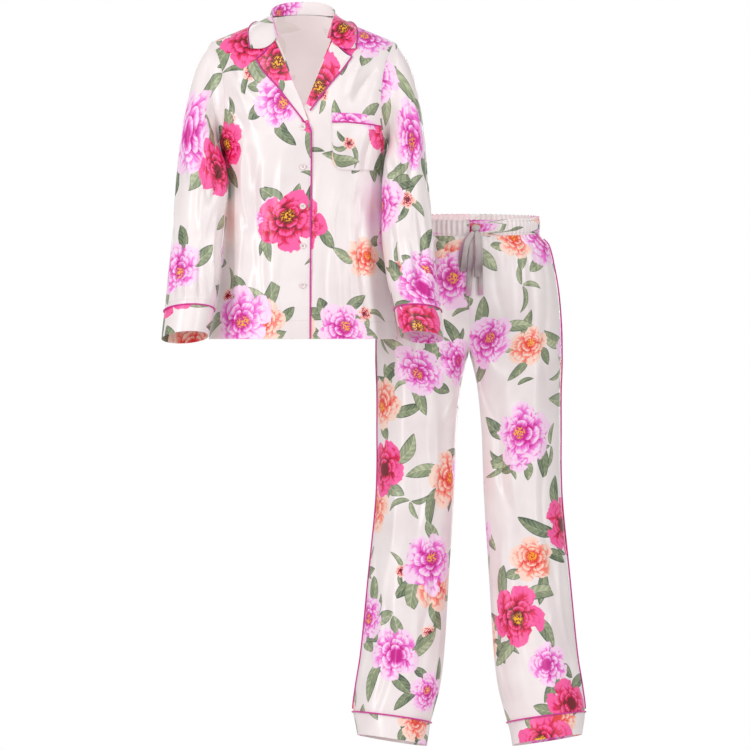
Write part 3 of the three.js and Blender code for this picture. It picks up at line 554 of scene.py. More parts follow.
def toMesh(name, points, faces, finishes, faceFinish=None, uv=None, sharp=50):
    mesh = bpy.data.meshes.new(name)
    mesh.from_pydata((points * mm).tolist(), [], faces.tolist())
    for finish in finishes:
        mesh.materials.append(finish)
    if faceFinish is not None:
        mesh.polygons.foreach_set("material_index", faceFinish.astype(np.int32))
    if uv is not None:
        mesh.uv_layers.new(name="cloth").data.foreach_set("uv", (uv * mm).ravel())
    mesh.shade_smooth()
    mesh.set_sharp_from_angle(angle=math.radians(sharp))
    mesh.validate()
    piece = bpy.data.objects.new(name, mesh)
    bpy.context.collection.objects.link(piece)
    made[name] = piece


def facingOut(points, faces):
    a, b, c, d = (points[faces[:, k]] for k in range(4))
    volume = np.sum(np.einsum("ij,ij->i", a, np.cross(b, c)) + np.einsum("ij,ij->i", a, np.cross(c, d)))
    return volume > 0


def ringFaces(points, rings, sides):
    j, i = (g.ravel() for g in np.meshgrid(np.arange(rings - 1), np.arange(sides), indexing="ij"))
    after = (i + 1) % sides
    faces = np.stack([j * sides + i, j * sides + after, (j + 1) * sides + after, (j + 1) * sides + i], axis=1)
    return faces if facingOut(points, faces) else faces[:, ::-1]


def sheetOfCloth(name, at, columns, rows, thick, inward=1, closed=False, printAt=(0, 0), finishes=None):
    u, v = np.meshgrid(np.linspace(0, 1, columns + 1), np.linspace(0, 1, rows + 1))
    outer = np.stack(at(u, v), axis=-1)
    if closed:
        outer[:, -1] = outer[:, 0]
        ring = outer[:, :-1]
        across = np.roll(ring, -1, axis=1) - np.roll(ring, 1, axis=1)
        across = np.concatenate([across, across[:, :1]], axis=1)
    else:
        across = np.gradient(outer, axis=1)
    normal = np.cross(across, np.gradient(outer, axis=0))
    normal /= np.maximum(np.linalg.norm(normal, axis=-1, keepdims=True), 1e-9)
    inner = outer - normal * thick * inward
    steps = np.linalg.norm(np.diff(outer, axis=1), axis=-1)
    s = np.concatenate([np.zeros((rows + 1, 1)), np.cumsum(steps, axis=1)], axis=1)
    middle = columns // 2
    s -= s[:, middle:middle + 1]
    rise = np.linalg.norm(np.diff(outer[:, middle], axis=0), axis=-1)
    t = np.concatenate([[0], np.cumsum(rise)])[:, None] + np.zeros_like(s)
    flat = np.stack([s + printAt[0], t + printAt[1]], axis=-1)
    tall = np.linalg.norm(np.diff(outer, axis=0), axis=-1).sum(axis=0).max()
    cell = np.cross(outer[1:, 1:] - outer[:-1, :-1], outer[1:, :-1] - outer[:-1, 1:]) / 2
    print(f"{name} measures {steps.sum(axis=1).max():.0f} by {tall:.0f} mm,",
          f"{np.linalg.norm(cell, axis=-1).sum() / 1e6:.4f} square metres")
    wide = columns if closed else columns + 1
    points = np.concatenate([outer[:, :wide].reshape(-1, 3), inner[:, :wide].reshape(-1, 3)])
    layer = wide * (rows + 1)
    j, i = (g.ravel() for g in np.meshgrid(np.arange(rows), np.arange(columns), indexing="ij"))

    def spot(i, j, inside=0):
        return (i % wide) + j * wide + inside * layer

    def quads(*corners):
        ids = np.stack([spot(a, b, c) for a, b, c in corners], axis=1)
        places = np.stack([flat[b, a] for a, b, c in corners], axis=1)
        return ids, places

    sets = [quads((i, j, 0), (i + 1, j, 0), (i + 1, j + 1, 0), (i, j + 1, 0)),
            quads((i, j, 1), (i, j + 1, 1), (i + 1, j + 1, 1), (i + 1, j, 1))]
    k = np.arange(columns)
    low, high = np.zeros_like(k), np.full_like(k, rows)
    sets.append(quads((k + 1, low, 0), (k, low, 0), (k, low, 1), (k + 1, low, 1)))
    sets.append(quads((k, high, 0), (k + 1, high, 0), (k + 1, high, 1), (k, high, 1)))
    if not closed:
        k = np.arange(rows)
        low, high = np.zeros_like(k), np.full_like(k, columns)
        sets.append(quads((low, k, 0), (low, k + 1, 0), (low, k + 1, 1), (low, k, 1)))
        sets.append(quads((high, k + 1, 0), (high, k, 0), (high, k, 1), (high, k + 1, 1)))
    ids = np.concatenate([faces for faces, _ in sets])
    places = np.concatenate([uv for _, uv in sets])
    finish = np.zeros(len(ids))
    finish[len(sets[0][0]):len(sets[0][0]) + len(sets[1][0])] = 1
    if not facingOut(points, ids):
        ids, places = ids[:, ::-1], places[:, ::-1]
    toMesh(name, points, ids, finishes or [printedSatin, wrongSide], finish, places)


def alongPath(path):
    step = np.gradient(path, axis=0)
    return step / np.maximum(np.linalg.norm(step, axis=1, keepdims=True), 1e-9)


def smoothPath(points, count):
    points = np.asarray(points, float)
    steps = np.linalg.norm(np.diff(points, axis=0), axis=1)
    keys = np.concatenate([[0], np.cumsum(steps)])
    rows = {"along": keys, "x": points[:, 0], "y": points[:, 1], "z": points[:, 2]}
    at = np.linspace(0, keys[-1], count)
    return np.stack([read(rows, axis, at) for axis in "xyz"], axis=1)


def cordAlong(name, path, up, wide, high, finish, sides=12, square=1.0):
    ahead = alongPath(path)
    across = np.cross(ahead, up)
    across /= np.linalg.norm(across, axis=1, keepdims=True)
    out = np.cross(across, ahead)
    turn = np.arange(sides) / sides * 2 * np.pi
    c, s = np.cos(turn), np.sin(turn)
    c, s = np.sign(c) * np.abs(c) ** square, np.sign(s) * np.abs(s) ** square
    wide, high = (np.broadcast_to(value, len(path))[:, None, None] for value in (wide, high))
    rings = path[:, None] + across[:, None] * c[None, :, None] * wide + out[:, None] * s[None, :, None] * high
    count = len(path)
    points = np.concatenate([rings.reshape(-1, 3), path[:1], path[-1:]])
    j, i = (g.ravel() for g in np.meshgrid(np.arange(count - 1), np.arange(sides), indexing="ij"))
    length = np.concatenate([[0], np.cumsum(np.linalg.norm(np.diff(path, axis=0), axis=1))])
    girth = 2 * math.pi * float(np.mean(wide)) / sides

    def spot(i, j):
        return j * sides + i % sides

    def place(i, j):
        return np.stack([i * girth, length[j]], axis=1)

    ids = np.stack([spot(i, j), spot(i + 1, j), spot(i + 1, j + 1), spot(i, j + 1)], axis=1)
    places = np.stack([place(i, j), place(i + 1, j), place(i + 1, j + 1), place(i, j + 1)], axis=1)
    k = np.arange(0, sides, 2)
    first, end = np.zeros_like(k), np.full_like(k, count - 1)
    caps = [(np.full_like(k, count * sides), spot(k + 2, first), spot(k + 1, first), spot(k, first), first),
            (np.full_like(k, count * sides + 1), spot(k, end), spot(k + 1, end), spot(k + 2, end), end)]
    for a, b, c2, d, row in caps:
        ids = np.concatenate([ids, np.stack([a, b, c2, d], axis=1)])
        places = np.concatenate([places, np.stack([place(k, row)] * 4, axis=1)])
    if not facingOut(points, ids):
        ids, places = ids[:, ::-1], places[:, ::-1]
    toMesh(name, points, ids, [finish], None, places, sharp=40)


# The jacket's body
hem, underarm, shoulderTip, neckPoint = -618, -225, (182, -24), (66, 24)
bodyForm = form(
    "z right left front back",
    (-640, 192, 192, 116, 106), (-500, 171, 174, 112, 102), (-400, 158, 167, 107, 97),
    (-310, 155, 165, 106, 96), (-250, 161.5, 166.5, 109, 98), (-225, 168, 169.5, 110, 100),
    (-185, 174, 174, 109, 102), (-120, 181, 181, 103, 102), (-60, 186, 186, 96, 98), (60, 196, 196, 90, 90))
armhole = form("z x", (-225, 166.5), (-205, 161.6), (-180, 157.5), (-146, 156), (-100, 159), (-60, 167),
               (-24, 182))
frontEdge = form(
    "z right left", (-640, 13, -15), (-400, 14, -15), (-200, 15, -14), (-171, 8, -6), (-156, 1, 3),
    (-110, -17, 22), (-64, -33, 39), (-20, -52, 57), (24, -66, 66))
jacketDrape = {  # main folds: place at the top and foot, width, depth, from and to height
    "front": [
        (-150, -62, 22, -5, -50, -210), (-104, -92, 11, -6, -230, -600), (-128, -126, 9, 6, -250, -640),
        (-60, -52, 15, 3, -330, -640), (60, 74, 16, 3, -320, -640), (116, 150, 10, 7, -330, -640),
        (138, 168, 10, -7, -330, -640), (150, 74, 20, -4, -50, -200),
    ],
    "back": [
        (-70, -96, 16, -5, -140, -640), (-20, -28, 20, 4, -240, -640), (46, 62, 16, -4, -260, -640),
        (104, 118, 14, -5, -160, -640),
    ],
}
jacketFolds = {  # softer ones: two ends in x and z, width, depth
    "front": [
        (-148, -70, -84, -150, 8, -2.2), (-136, -44, -96, -196, 9, 2.0),
        (-108, -30, -60, -120, 7, -1.6), (-152, -128, -112, -200, 6, -1.8),
        (-118, -210, -100, -420, 7, 2.2), (-84, -250, -76, -470, 6, -1.8),
        (-146, -260, -150, -520, 6, -2.4), (-112, -380, -120, -610, 7, 2.2),
        (-70, -360, -58, -616, 8, -1.8), (-34, -230, -30, -440, 9, 1.4),
        (-40, -450, -34, -616, 7, -1.6), (-96, -470, -88, -616, 6, 1.8), (150, -80, 100, -150, 8, -2.0),
        (132, -46, 90, -140, 7, 1.8), (148, -190, 120, -290, 7, -2.0), (106, -290, 112, -480, 8, 2.0),
        (84, -300, 78, -500, 7, -1.7), (40, -250, 36, -470, 8, 1.6), (52, -420, 58, -616, 7, -1.8),
        (96, -440, 104, -616, 6, 2.0), (124, -330, 138, -600, 6, -2.4), (28, -480, 26, -612, 7, 1.3),
    ],
    "back": [
        (-140, -70, -60, -150, 10, -2.2), (136, -66, 66, -150, 10, -2.0),
        (-40, -60, -20, -220, 12, 1.6), (60, -110, 44, -300, 10, 1.8),
        (-120, -200, -110, -460, 8, -2.2), (-84, -260, -90, -560, 8, 2.0),
        (-50, -300, -56, -616, 9, -1.8), (6, -280, 0, -616, 10, 1.8), (80, -260, 88, -560, 8, 2.0),
        (124, -220, 132, -600, 8, -2.4), (34, -420, 40, -616, 8, -1.6),
        (-140, -360, -150, -610, 7, 2.0),
    ],
}
slopeOfShoulder = (neckPoint[1] - shoulderTip[1]) / (shoulderTip[0] - neckPoint[0])


def drape(rows, x, z):
    total = np.zeros(np.broadcast(x, z).shape)
    for top, foot, width, depth, start, end in rows:
        t = (z - start) / (end - start)
        ends = np.minimum(1, 6 * t) if end < hem else np.minimum(np.minimum(1, 6 * t), 6 * (1 - t))
        ends = np.where((t > 0) & (t < 1), ends, 0)
        total = total + depth * ends * np.exp(-((x - mix(top, foot, t)) / width) ** 2)
    return total


def shoulderLine(x):
    out = np.abs(x) - neckPoint[0]
    inner = neckPoint[1] + 27 * (1 - (x / neckPoint[0]) ** 2)
    return np.where(out > 0, neckPoint[1] - slopeOfShoulder * out, inner)


def bodyDepth(x, z, part):
    half = np.where(x < 0, read(bodyForm, "right", z), read(bodyForm, "left", z))
    below = np.clip((shoulderLine(x) - z) / 110, 0, 1)
    across = roundOff(x / half, 2.6)
    folds = drape(jacketDrape[part], x, z) + softFolds(jacketFolds[part], x, z)
    folds = folds + ripple(x, z, 1 if part == "front" else 2, 0.8) * smooth(-40, -140, z)
    hemLap = 0.5 * smooth(hem + 24.5, hem + 22, z)  # the turned hem is double
    return (read(bodyForm, part, z) * across + (folds + hemLap) * np.minimum(1, across * 2)) * np.sqrt(
        1 - (1 - below) ** 2)


def onFront(x, z, lift):
    step = 0.5
    depth = bodyDepth(x, z, "front")
    out = np.stack([(depth - bodyDepth(x + step, z, "front")) / step, -np.ones_like(depth),
                    (depth - bodyDepth(x, z + step, "front")) / step], axis=-1)
    out /= np.linalg.norm(out, axis=-1, keepdims=True)
    return x + out[..., 0] * lift, -depth + out[..., 1] * lift, z + out[..., 2] * lift


def rise(v):
    share = (underarm - hem) / (shoulderTip[1] - hem)
    low = share * (1 - (1 - 2 * np.minimum(v, 0.5)) ** 1.4)
    return np.where(v < 0.5, low, share + (1 - share) * np.sin((v - 0.5) * np.pi))


def sideEdge(side, z):
    body = read(bodyForm, "right" if side < 0 else "left", z)
    return side * np.where(z < underarm, body, read(armhole, "x", z))


def frontPoint(side, u, v):
    climb = rise(np.minimum(v, 0.9994))
    inner = read(frontEdge, "right" if side < 0 else "left", mix(hem, neckPoint[1], climb))
    outer = sideEdge(side, mix(hem, shoulderTip[1], climb))
    share = np.sin(np.minimum(u, 0.9994) * np.pi / 2)
    topX = mix(side * neckPoint[0], side * shoulderTip[0], share)
    x, z = mix(inner, outer, share), mix(hem, shoulderLine(topX), climb)
    under = 2.6 * (1 - smooth(18, 50, x)) * (1 - smooth(-150, -90, z)) if side > 0 else 0
    return x, under - bodyDepth(x, z, "front"), z


def backPoint(u, v):
    climb = rise(np.minimum(v, 0.9994))
    turn = np.clip(2 * u - 1, -0.9994, 0.9994)
    share = np.sin(turn * np.pi / 2)
    height = mix(hem, shoulderTip[1], climb)
    x = np.abs(share) * np.where(share < 0, sideEdge(-1, height), sideEdge(1, height))
    topX = np.abs(share * shoulderTip[0])
    neck = mix(31, neckPoint[1], (topX / neckPoint[0]) ** 2)
    z = mix(hem, np.where(topX < neckPoint[0], neck, shoulderLine(topX)), climb)
    return x, bodyDepth(x, z, "back"), z


jacket = {"cloth": 0.9, "frontCells": (72, 150), "backCells": (120, 140)}
sheetOfCloth("jacketFrontRight", lambda u, v: frontPoint(-1, u, v), *jacket["frontCells"], jacket["cloth"],
             inward=-1, printAt=(310, 130))
sheetOfCloth("jacketFrontLeft", lambda u, v: frontPoint(1, u, v), *jacket["frontCells"], jacket["cloth"],
             printAt=(1460, 300))
sheetOfCloth("jacketBack", backPoint, *jacket["backCells"], jacket["cloth"], inward=-1, printAt=(2750, 90))
print("jacket body is cut")

# Sleeves
sleeveForm = form(
    "place outerX outerZ innerX innerZ midY depth lean",
    (1, 193, -37, 169, -229, -4, 52, 0), (2, 207, -58, 168, -233, -9, 57, 0),
    (3, 220, -88, 166, -238, -16, 60, 0.02), (4, 231, -130, 163, -244, -27, 61, 0.04),
    (5, 239, -180, 159, -253, -41, 59, 0.08), (6, 245, -235, 153, -272, -53, 57, 0.12),
    (7, 249, -300, 147, -312, -65, 53, 0.18), (8, 256, -372, 154, -370, -76, 50, 0.22),
    (9, 262, -440, 161, -434, -90, 49, 0.26), (10, 269, -505, 164, -500, -106, 48, 0.27),
    (11, 275, -563, 177, -560, -120, 46, 0.27), (12, 281, -618, 187, -612, -134, 45, 0.27))
leftInnerShift = form("z x", (-620, 8), (-500, 4), (-420, -2), (-310, 11), (-260, 6), (-225, 0))
sleeveDents = [(0.2, -485, 0.05, 34, -6), (0.34, -300, 0.045, 46, -5), (0.16, -250, 0.05, 70, 3),
               (0.7, -330, 0.06, 50, -5), (0.82, -430, 0.05, 60, 4)]
sleeveFolds = {  # round the arm in mm from its outer edge, height; front ones lie at 40 to 130
    -1: [
        (46, -120, 60, -330, 6, 2.4), (70, -150, 96, -360, 6, -2.4), (98, -180, 84, -420, 6, 2.0),
        (120, -270, 96, -350, 6, -2.6), (60, -380, 72, -552, 6, 2.2), (88, -420, 100, -556, 6, -2.4),
        (114, -360, 124, -540, 6, 2.0), (34, -420, 46, -556, 6, -2.2), (20, -200, 24, -420, 7, 2.0),
        (190, -160, 204, -380, 8, -2.2), (232, -200, 222, -460, 8, 2.2),
        (206, -400, 214, -556, 7, -2.0), (258, -260, 250, -520, 8, -2.0),
    ],
    1: [
        (50, -110, 68, -300, 6, -2.4), (78, -140, 92, -390, 6, 2.4), (104, -200, 88, -330, 6, -2.2),
        (124, -260, 104, -340, 6, 2.4), (54, -350, 64, -540, 6, -2.2), (80, -400, 92, -556, 6, 2.2),
        (108, -380, 118, -550, 6, -2.4), (30, -300, 38, -520, 6, 2.0), (14, -180, 16, -380, 7, -1.8),
        (186, -180, 196, -400, 8, 2.2), (226, -220, 216, -480, 8, -2.2), (204, -420, 210, -556, 7, 2.0),
        (256, -240, 248, -500, 8, 2.0),
    ],
}


# the sleeve ends, and its cuff starts, at a place in sleeveForm
sleeve = {"cells": (108, 130), "end": 10.99, "girth": 300, "foldHeight": 1.3,
          "cuffCells": (108, 22), "cuffStart": 11.01, "cuffSpan": 0.985, "cuffCloth": 1.5, "cuffLift": 0.5}


def sleeveRing(side, place, turn):
    c, s = np.cos(turn * 2 * np.pi), np.sin(turn * 2 * np.pi)
    get = lambda name: read(sleeveForm, name, place)
    shift = read(leftInnerShift, "x", get("innerZ")) if side > 0 else 0
    inner, outer, depth = get("innerX") + shift, get("outerX"), get("depth")
    z = mix((get("outerZ") + get("innerZ")) / 2, get("outerZ"), c) + get("lean") * depth * s
    dent = sum(deep * np.exp(-((turn - at) / wide) ** 2 - ((z - level) / tall) ** 2)
               for at, level, wide, tall, deep in sleeveDents)
    folds = sum(softFolds(sleeveFolds[side], (turn % 1 + lap) * sleeve["girth"], z) for lap in (-1, 0, 1))
    unevenness = ripple(sleeve["girth"] * np.abs((turn % 1) - 0.5), z, 3 + side, 0.7)
    folds = sleeve["foldHeight"] * folds + unevenness
    dent = dent + folds * smooth(1.0, 3.0, place) * smooth(11.3, 10.4, place)
    x = (outer + inner) / 2 + ((outer - inner) / 2 + dent) * c
    return side * x, get("midY") - (depth + dent) * s, z


def armholeRing(side, turn):
    c, s = np.cos(turn * 2 * np.pi), np.sin(turn * 2 * np.pi)
    fromTop = np.abs(turn - np.round(turn))
    z = mix(underarm, shoulderTip[1], np.cos(fromTop * np.pi))
    x = read(armhole, "x", z)
    depth = np.where(s > 0, bodyDepth(side * x, z, "front"), bodyDepth(side * x, z, "back"))
    return side * (x + 0.3), -np.sign(s) * depth, z


def sleevePoint(side, u, place):
    ring = sleeveRing(side, np.maximum(place, 1), u)
    start, first = armholeRing(side, u), sleeveRing(side, np.ones_like(u), u)
    swell = np.sin(np.pi * np.clip(place, 0, 1)) * 1.5
    near = [mix(a, b, np.clip(place, 0, 1)) for a, b in zip(start, first)]
    near[0] = near[0] + side * swell
    return tuple(np.where(place >= 1, far, close) for far, close in zip(ring, near))


for side, name, spot in ((-1, "Right", (700, 800)), (1, "Left", (1900, 1100))):
    sheetOfCloth("sleeve" + name, lambda u, v: sleevePoint(side, u, v * sleeve["end"]), *sleeve["cells"],
                 jacket["cloth"], inward=side, closed=True, printAt=spot)

    def cuffAt(u, v):
        x, y, z = sleevePoint(side, u, sleeve["cuffStart"] + v * sleeve["cuffSpan"])
        c, s = np.cos(u * 2 * np.pi), np.sin(u * 2 * np.pi)
        lift = sleeve["cuffLift"] * np.sin(np.pi * np.clip(v * 1.1, 0, 1)) + 0.3
        return x + side * c * lift, y - s * lift, z

    sheetOfCloth("sleeveCuff" + name, cuffAt, *sleeve["cuffCells"], sleeve["cuffCloth"],
                 inward=side, closed=True, printAt=(spot[0] + 130, spot[1] + 520), finishes=[printedSatin, printedSatin])
print("sleeves are set in")

# Collar and lapels
collarHalf = [
    (0, 0, 57, 32, 0, 68, 58, 0, 92, 2, 4), (0.2, 27, 52, 31, 29, 61, 56.5, 39, 87, 2, 3),
    (0.38, 48, 38, 29, 52, 42, 50, 70, 66, 6, -1), (0.52, 59, 20, 28, 62, 17, 42, 88, 32, 17, -4),
    (0.64, 60.5, -6, 26, 63, -10, 33, 100, -4, 13, -2), (0.8, 56, -42, 12, 60, -50, 16, 108, -40, -3, 3),
    (1, 48.5, -76, -17, 55, -86, -18, 105, -76, -38, 4)]
collarForm = form(
    "at seamX seamY seamZ rollX rollY rollZ edgeX edgeY edgeZ swell",
    *collarHalf,
    *[tuple(-v if k in (0, 1, 4, 7) else v for k, v in enumerate(row)) for row in collarHalf[1:]])


def clearOfBody(x, y, z, gap):
    front, back = bodyDepth(x, z, "front") + gap, bodyDepth(x, z, "back") + gap
    out = np.where(y < 0, np.minimum(y, -front), np.maximum(y, back))
    return x, np.where(z >= shoulderLine(x), y, out), z


def collarPoint(u, v):
    side, at = np.where(u < 0.5, -1, 1), np.abs(2 * u - 1)
    get = lambda name: read(collarForm, name, at)
    seam, roll, edge = ([side * get(p + "X"), get(p + "Y"), get(p + "Z")] for p in ("seam", "roll", "edge"))
    t = np.clip((v - 0.3) / 0.7, 0, 1)
    stand = np.clip(v / 0.3, 0, 1)
    x, y, z = (np.where(v <= 0.3, mix(a, b, stand), mix(b, c, t)) for a, b, c in zip(seam, roll, edge))
    bulge = np.where(v > 0.3, get("swell") * np.sin(np.pi * t) ** 0.7, 0)
    x = x + side * bulge * np.minimum(1, at * 2)
    y = y + bulge * (1 - 2 * smooth(0.5, 0.9, at))
    z = z + bulge - np.where(v > 0.3, 15 * smooth(0.84, 1, at) * np.sin(np.pi * t ** 0.7), 0)
    clear = clearOfBody(x, y, z, 2.4 + 2.2 * (1 - t))
    return tuple(np.where(v <= 0.3, a, b) for a, b in zip((x, y, z), clear))


lapelForm = form(
    "at rightRollX rightRollZ rightEdgeX rightEdgeZ leftRollX leftRollZ leftEdgeX leftEdgeZ",
    (0, -54, -24, -90, -60, 58, -24, 95, -56), (0.25, -39, -58, -73, -87, 45, -56, 76, -82),
    (0.5, -24, -96, -49, -114, 30, -92, 53, -109), (0.75, -7, -136, -24, -147, 16, -126, 30, -139),
    (1, 10.5, -181, 4, -184, 7, -148, 13, -162))


def lapelPoint(side, u, v):
    name = "right" if side < 0 else "left"
    get = lambda column: read(lapelForm, name + column, v)
    x = mix(get("RollX"), get("EdgeX"), u)
    z = mix(get("RollZ"), get("EdgeZ"), u) - 4 * np.sin(np.pi * u) * (1 - v) ** 3
    lift = 2.1 + 2 * np.sin(np.pi * np.minimum(1, u + 0.1)) * (1 - v)
    return onFront(x, z, lift)


collar = {"cells": (176, 40), "lapelCells": (30, 72), "cloth": 1.4}
sheetOfCloth("collar", collarPoint, *collar["cells"], collar["cloth"], printAt=(41, 317),
             finishes=[printedSatin, printedSatin])
for side, name, spot in ((-1, "Right", (238, 335)), (1, "Left", (229, 280))):
    sheetOfCloth("lapel" + name, lambda u, v: lapelPoint(side, u, v), *collar["lapelCells"], collar["cloth"],
                 inward=-side, printAt=spot, finishes=[printedSatin, printedSatin])
print("collar and lapels are turned")

# The pocket
pocket = {"left": 58, "wrap": 0.95, "width": 118, "top": -167, "drop": 7, "band": 19, "foot": -282,
          "corner": 26, "lift": 2.4, "cloth": 1.2, "bandCloth": 1.5, "cells": (56, 64), "bandCells": (56, 12)}


def pocketPoint(u, z, lift):
    half = read(bodyForm, "left", z)
    turn = mix(np.arcsin(pocket["left"] / half), math.asin(pocket["wrap"]), u)
    x = np.minimum(half * np.sin(turn), mix(pocket["left"], sideEdge(1, z) - 5, u))
    return onFront(x, z, lift)


def pocketTop(u):
    return pocket["top"] - pocket["drop"] * u ** 2


def bagPoint(u, v):
    fromSide = np.minimum(u, 1 - u) * pocket["width"]
    inCorner = np.maximum(0, 1 - fromSide / pocket["corner"])
    foot = pocket["foot"] + pocket["corner"] * (1 - np.sqrt(np.maximum(0, 1 - inCorner ** 2)))
    slack = 1.2 * np.sin(np.pi * u) * v ** 2
    return pocketPoint(u, mix(foot, pocketTop(u) - pocket["band"] - 0.4, v), pocket["lift"] + slack)


sheetOfCloth("pocketBag", bagPoint, *pocket["cells"], pocket["cloth"], printAt=(560, 3300))


def pocketBandPoint(u, v):
    z = mix(pocketTop(u) - pocket["band"], pocketTop(u), v)
    return pocketPoint(u, z, pocket["lift"] + 1.2 * np.sin(np.pi * u))


sheetOfCloth("pocketBand", pocketBandPoint, *pocket["bandCells"], pocket["bandCloth"], printAt=(253, 602))

# Piping
piping = {"radius": 1.5, "sides": 10, "beside": 1.9, "inSeam": 1.2}
forward = np.array([0.0, -1.0, 0.0])


def layPiping(name, points, up, count):
    path = smoothPath(points, count)
    up = np.broadcast_to(forward, np.shape(points)) if up is None else np.asarray(up)
    share = np.linspace(0, len(up) - 1, count)
    side = np.stack([np.interp(share, np.arange(len(up)), up[:, axis]) for axis in range(3)], axis=1)
    cordAlong(name, path, side, piping["radius"], piping["radius"], pipingSatin, piping["sides"])


def lapelOutline(side):
    outline = [(1, 1 - i / 16) for i in range(17)] + [(0.97, 0), (0.85, 0), (0.7, 0), (0.56, 0), (0.42, 0)]
    spots = np.array([[float(a) for a in lapelPoint(side, np.array(u, float), np.array(v, float))]
                      for u, v in outline])
    ahead = np.gradient(spots, axis=0) * (1, 0, 1)
    ahead /= np.linalg.norm(ahead, axis=1, keepdims=True)
    return np.stack([spots[:, 0] + side * ahead[:, 2] * piping["beside"],
                     spots[:, 2] - side * ahead[:, 0] * piping["beside"]], axis=1)


def onFrontLine(spots, lift):
    spots = np.asarray(spots, float)
    return np.stack(onFront(spots[:, 0], spots[:, 1], lift), axis=1)


edgeZ = np.linspace(hem + 0.5, -204, 60)
frontSpots = np.stack([read(frontEdge, "right", edgeZ) + piping["beside"], edgeZ], axis=1)
turnUp = np.array([(15, -197), (10, -190)])
rightLine = np.concatenate([frontSpots, turnUp, lapelOutline(-1)])
layPiping("pipingFrontRight", onFrontLine(rightLine, 1.9 * smooth(-225, -196, rightLine[:, 1])), None, 260)
layPiping("pipingLapelLeft", onFrontLine(lapelOutline(1), 1.9), None, 110)
u = np.linspace(0.004, 0.996, 73)
rim, within = (np.stack(collarPoint(u, np.full_like(u, v)), axis=1) for v in (1.0, 0.9))
outward = rim - within
outward /= np.linalg.norm(outward, axis=1, keepdims=True)
rimLine = np.stack(clearOfBody(*(rim + outward * 2.3).T, 2.2), axis=1)
layPiping("pipingCollar", rimLine, outward, 260)
u = np.linspace(0, 1, 30)
bandFoot = np.stack(pocketPoint(u, pocketTop(u) - pocket["band"], pocket["lift"] + 2.0), axis=1)
layPiping("pipingPocket", bandFoot, None, 70)
turns = 0.5 + np.clip(np.linspace(0, 1, 73), 0.003, 0.997)
for side, name in ((-1, "Right"), (1, "Left")):
    ring = np.stack(sleevePoint(side, turns, np.full_like(turns, 11)), axis=1)
    away = ring - ring.mean(axis=0)
    away /= np.linalg.norm(away, axis=1, keepdims=True)
    layPiping("pipingSleeve" + name, ring + away * piping["beside"], away, 150)
print("piping is laid")

# Buttons
button = {"count": 5, "top": -196, "pitch": 78.8, "hole": 0.75, "holeAt": 1.35, "sides": 48}


def sewButton(number):
    z = button["top"] - button["pitch"] * number
    x0, y0, z0 = (float(a) for a in onFront(np.array(0.0), np.array(float(z)), 0.4))
    rim = [(0.001, 0), (3, 0), (5.2, 0), (5.9, 0.35), (6.2, 0.95), (6.2, 1.7), (5.95, 2.3), (5.5, 2.6),
           (5.0, 2.58), (4.5, 2.25), (4.1, 1.95), (3.6, 1.8)]
    profile = rim + [(3.3 - 0.15 * k, 1.78) for k in range(22)] + [(0.001, 1.78)]
    rings = []
    turn = np.arange(button["sides"]) / button["sides"] * 2 * np.pi
    for k, (r, h) in enumerate(profile):
        x, up = r * np.cos(turn), r * np.sin(turn)
        lift = np.full_like(turn, h)
        if k >= len(rim):  # the hollow face, where the four holes are
            for hx, hz in ((-1, -1), (-1, 1), (1, -1), (1, 1)):
                away = np.hypot(x - hx * button["holeAt"], up - hz * button["holeAt"])
                lift -= 1.3 * smooth(button["hole"] + 0.22, button["hole"] - 0.2, away)
        rings.append(np.stack([x0 + x, y0 - lift, z0 + up], axis=1))
    points = np.concatenate(rings)
    ids = ringFaces(points, len(profile), button["sides"])
    toMesh(f"button{number + 1}", points, ids, [pearl], sharp=38)
    at = button["holeAt"]
    t = np.linspace(0, 1, 15)
    for k, up in enumerate((-at, at)):
        path = np.stack([x0 + mix(-at, at, t), y0 - 1.2 - 1.15 * np.sin(np.pi * t) ** 0.35,
                         z0 + up + 0 * t], axis=1)
        cordAlong(f"buttonThread{number + 1}_{k + 1}", path, np.broadcast_to((0, 0, 1.0), path.shape),
                  0.34, 0.30, thread, 8)


for number in range(button["count"]):
    sewButton(number)
print("buttons are sewn on")

# Trousers
trousers = {"x": 333, "y": 150, "crotch": -646, "parting": 105, "fade": 110, "hemTilt": 0.065,
            "cloth": 0.9, "panel": 186, "cells": (132, 170)}  # folds are laid over a panel this wide
waist = {"top": -379, "foot": -411, "depth": 96, "rise": 0.07, "gathers": 80, "gatherDepth": 1.7,
         "girthAt": -400.0, "cloth": 2.0, "cells": (800, 14)}
legCuff = {"top": -1378, "hem": -1424, "sideRise": 11, "depth": 76, "cloth": 1.6, "cells": (112, 24)}
seatForm = form(
    "z half front back",
    (-380, 138, 96, 94), (-410, 143, 99, 97), (-428, 159, 106, 106), (-480, 172, 113, 117),
    (-530, 180, 115, 123), (-600, 185, 114, 121), (-660, 186, 111, 113))
legForm = form(
    "z outer inner depth midY", (-620, 186, 0.3, 107, 0), (-646, 186, 1, 105, 0), (-665, 186, 6, 102, 0),
    (-690, 185, 12, 98, 0), (-716, 184, 17, 94, 1), (-800, 184, 25, 87, 2), (-880, 184, 28, 83, 2),
    (-950, 187, 31, 80, 3), (-1090, 201, 40, 78, 6), (-1250, 217, 50, 77, 10), (-1320, 228, 59, 77, 10),
    (-1366, 233, 71, 76, 9), (-1400, 228, 80, 76, 8), (-1450, 220, 88, 75, 7))
legDrape = [(0.3, 0.07, -5, -660, -1000), (0.62, 0.08, 5, -560, -1160), (0.45, 0.06, -4, -980, -1360),
            (0.8, 0.06, -4, -1010, -1380), (0.14, 0.06, -4, -620, -740)]
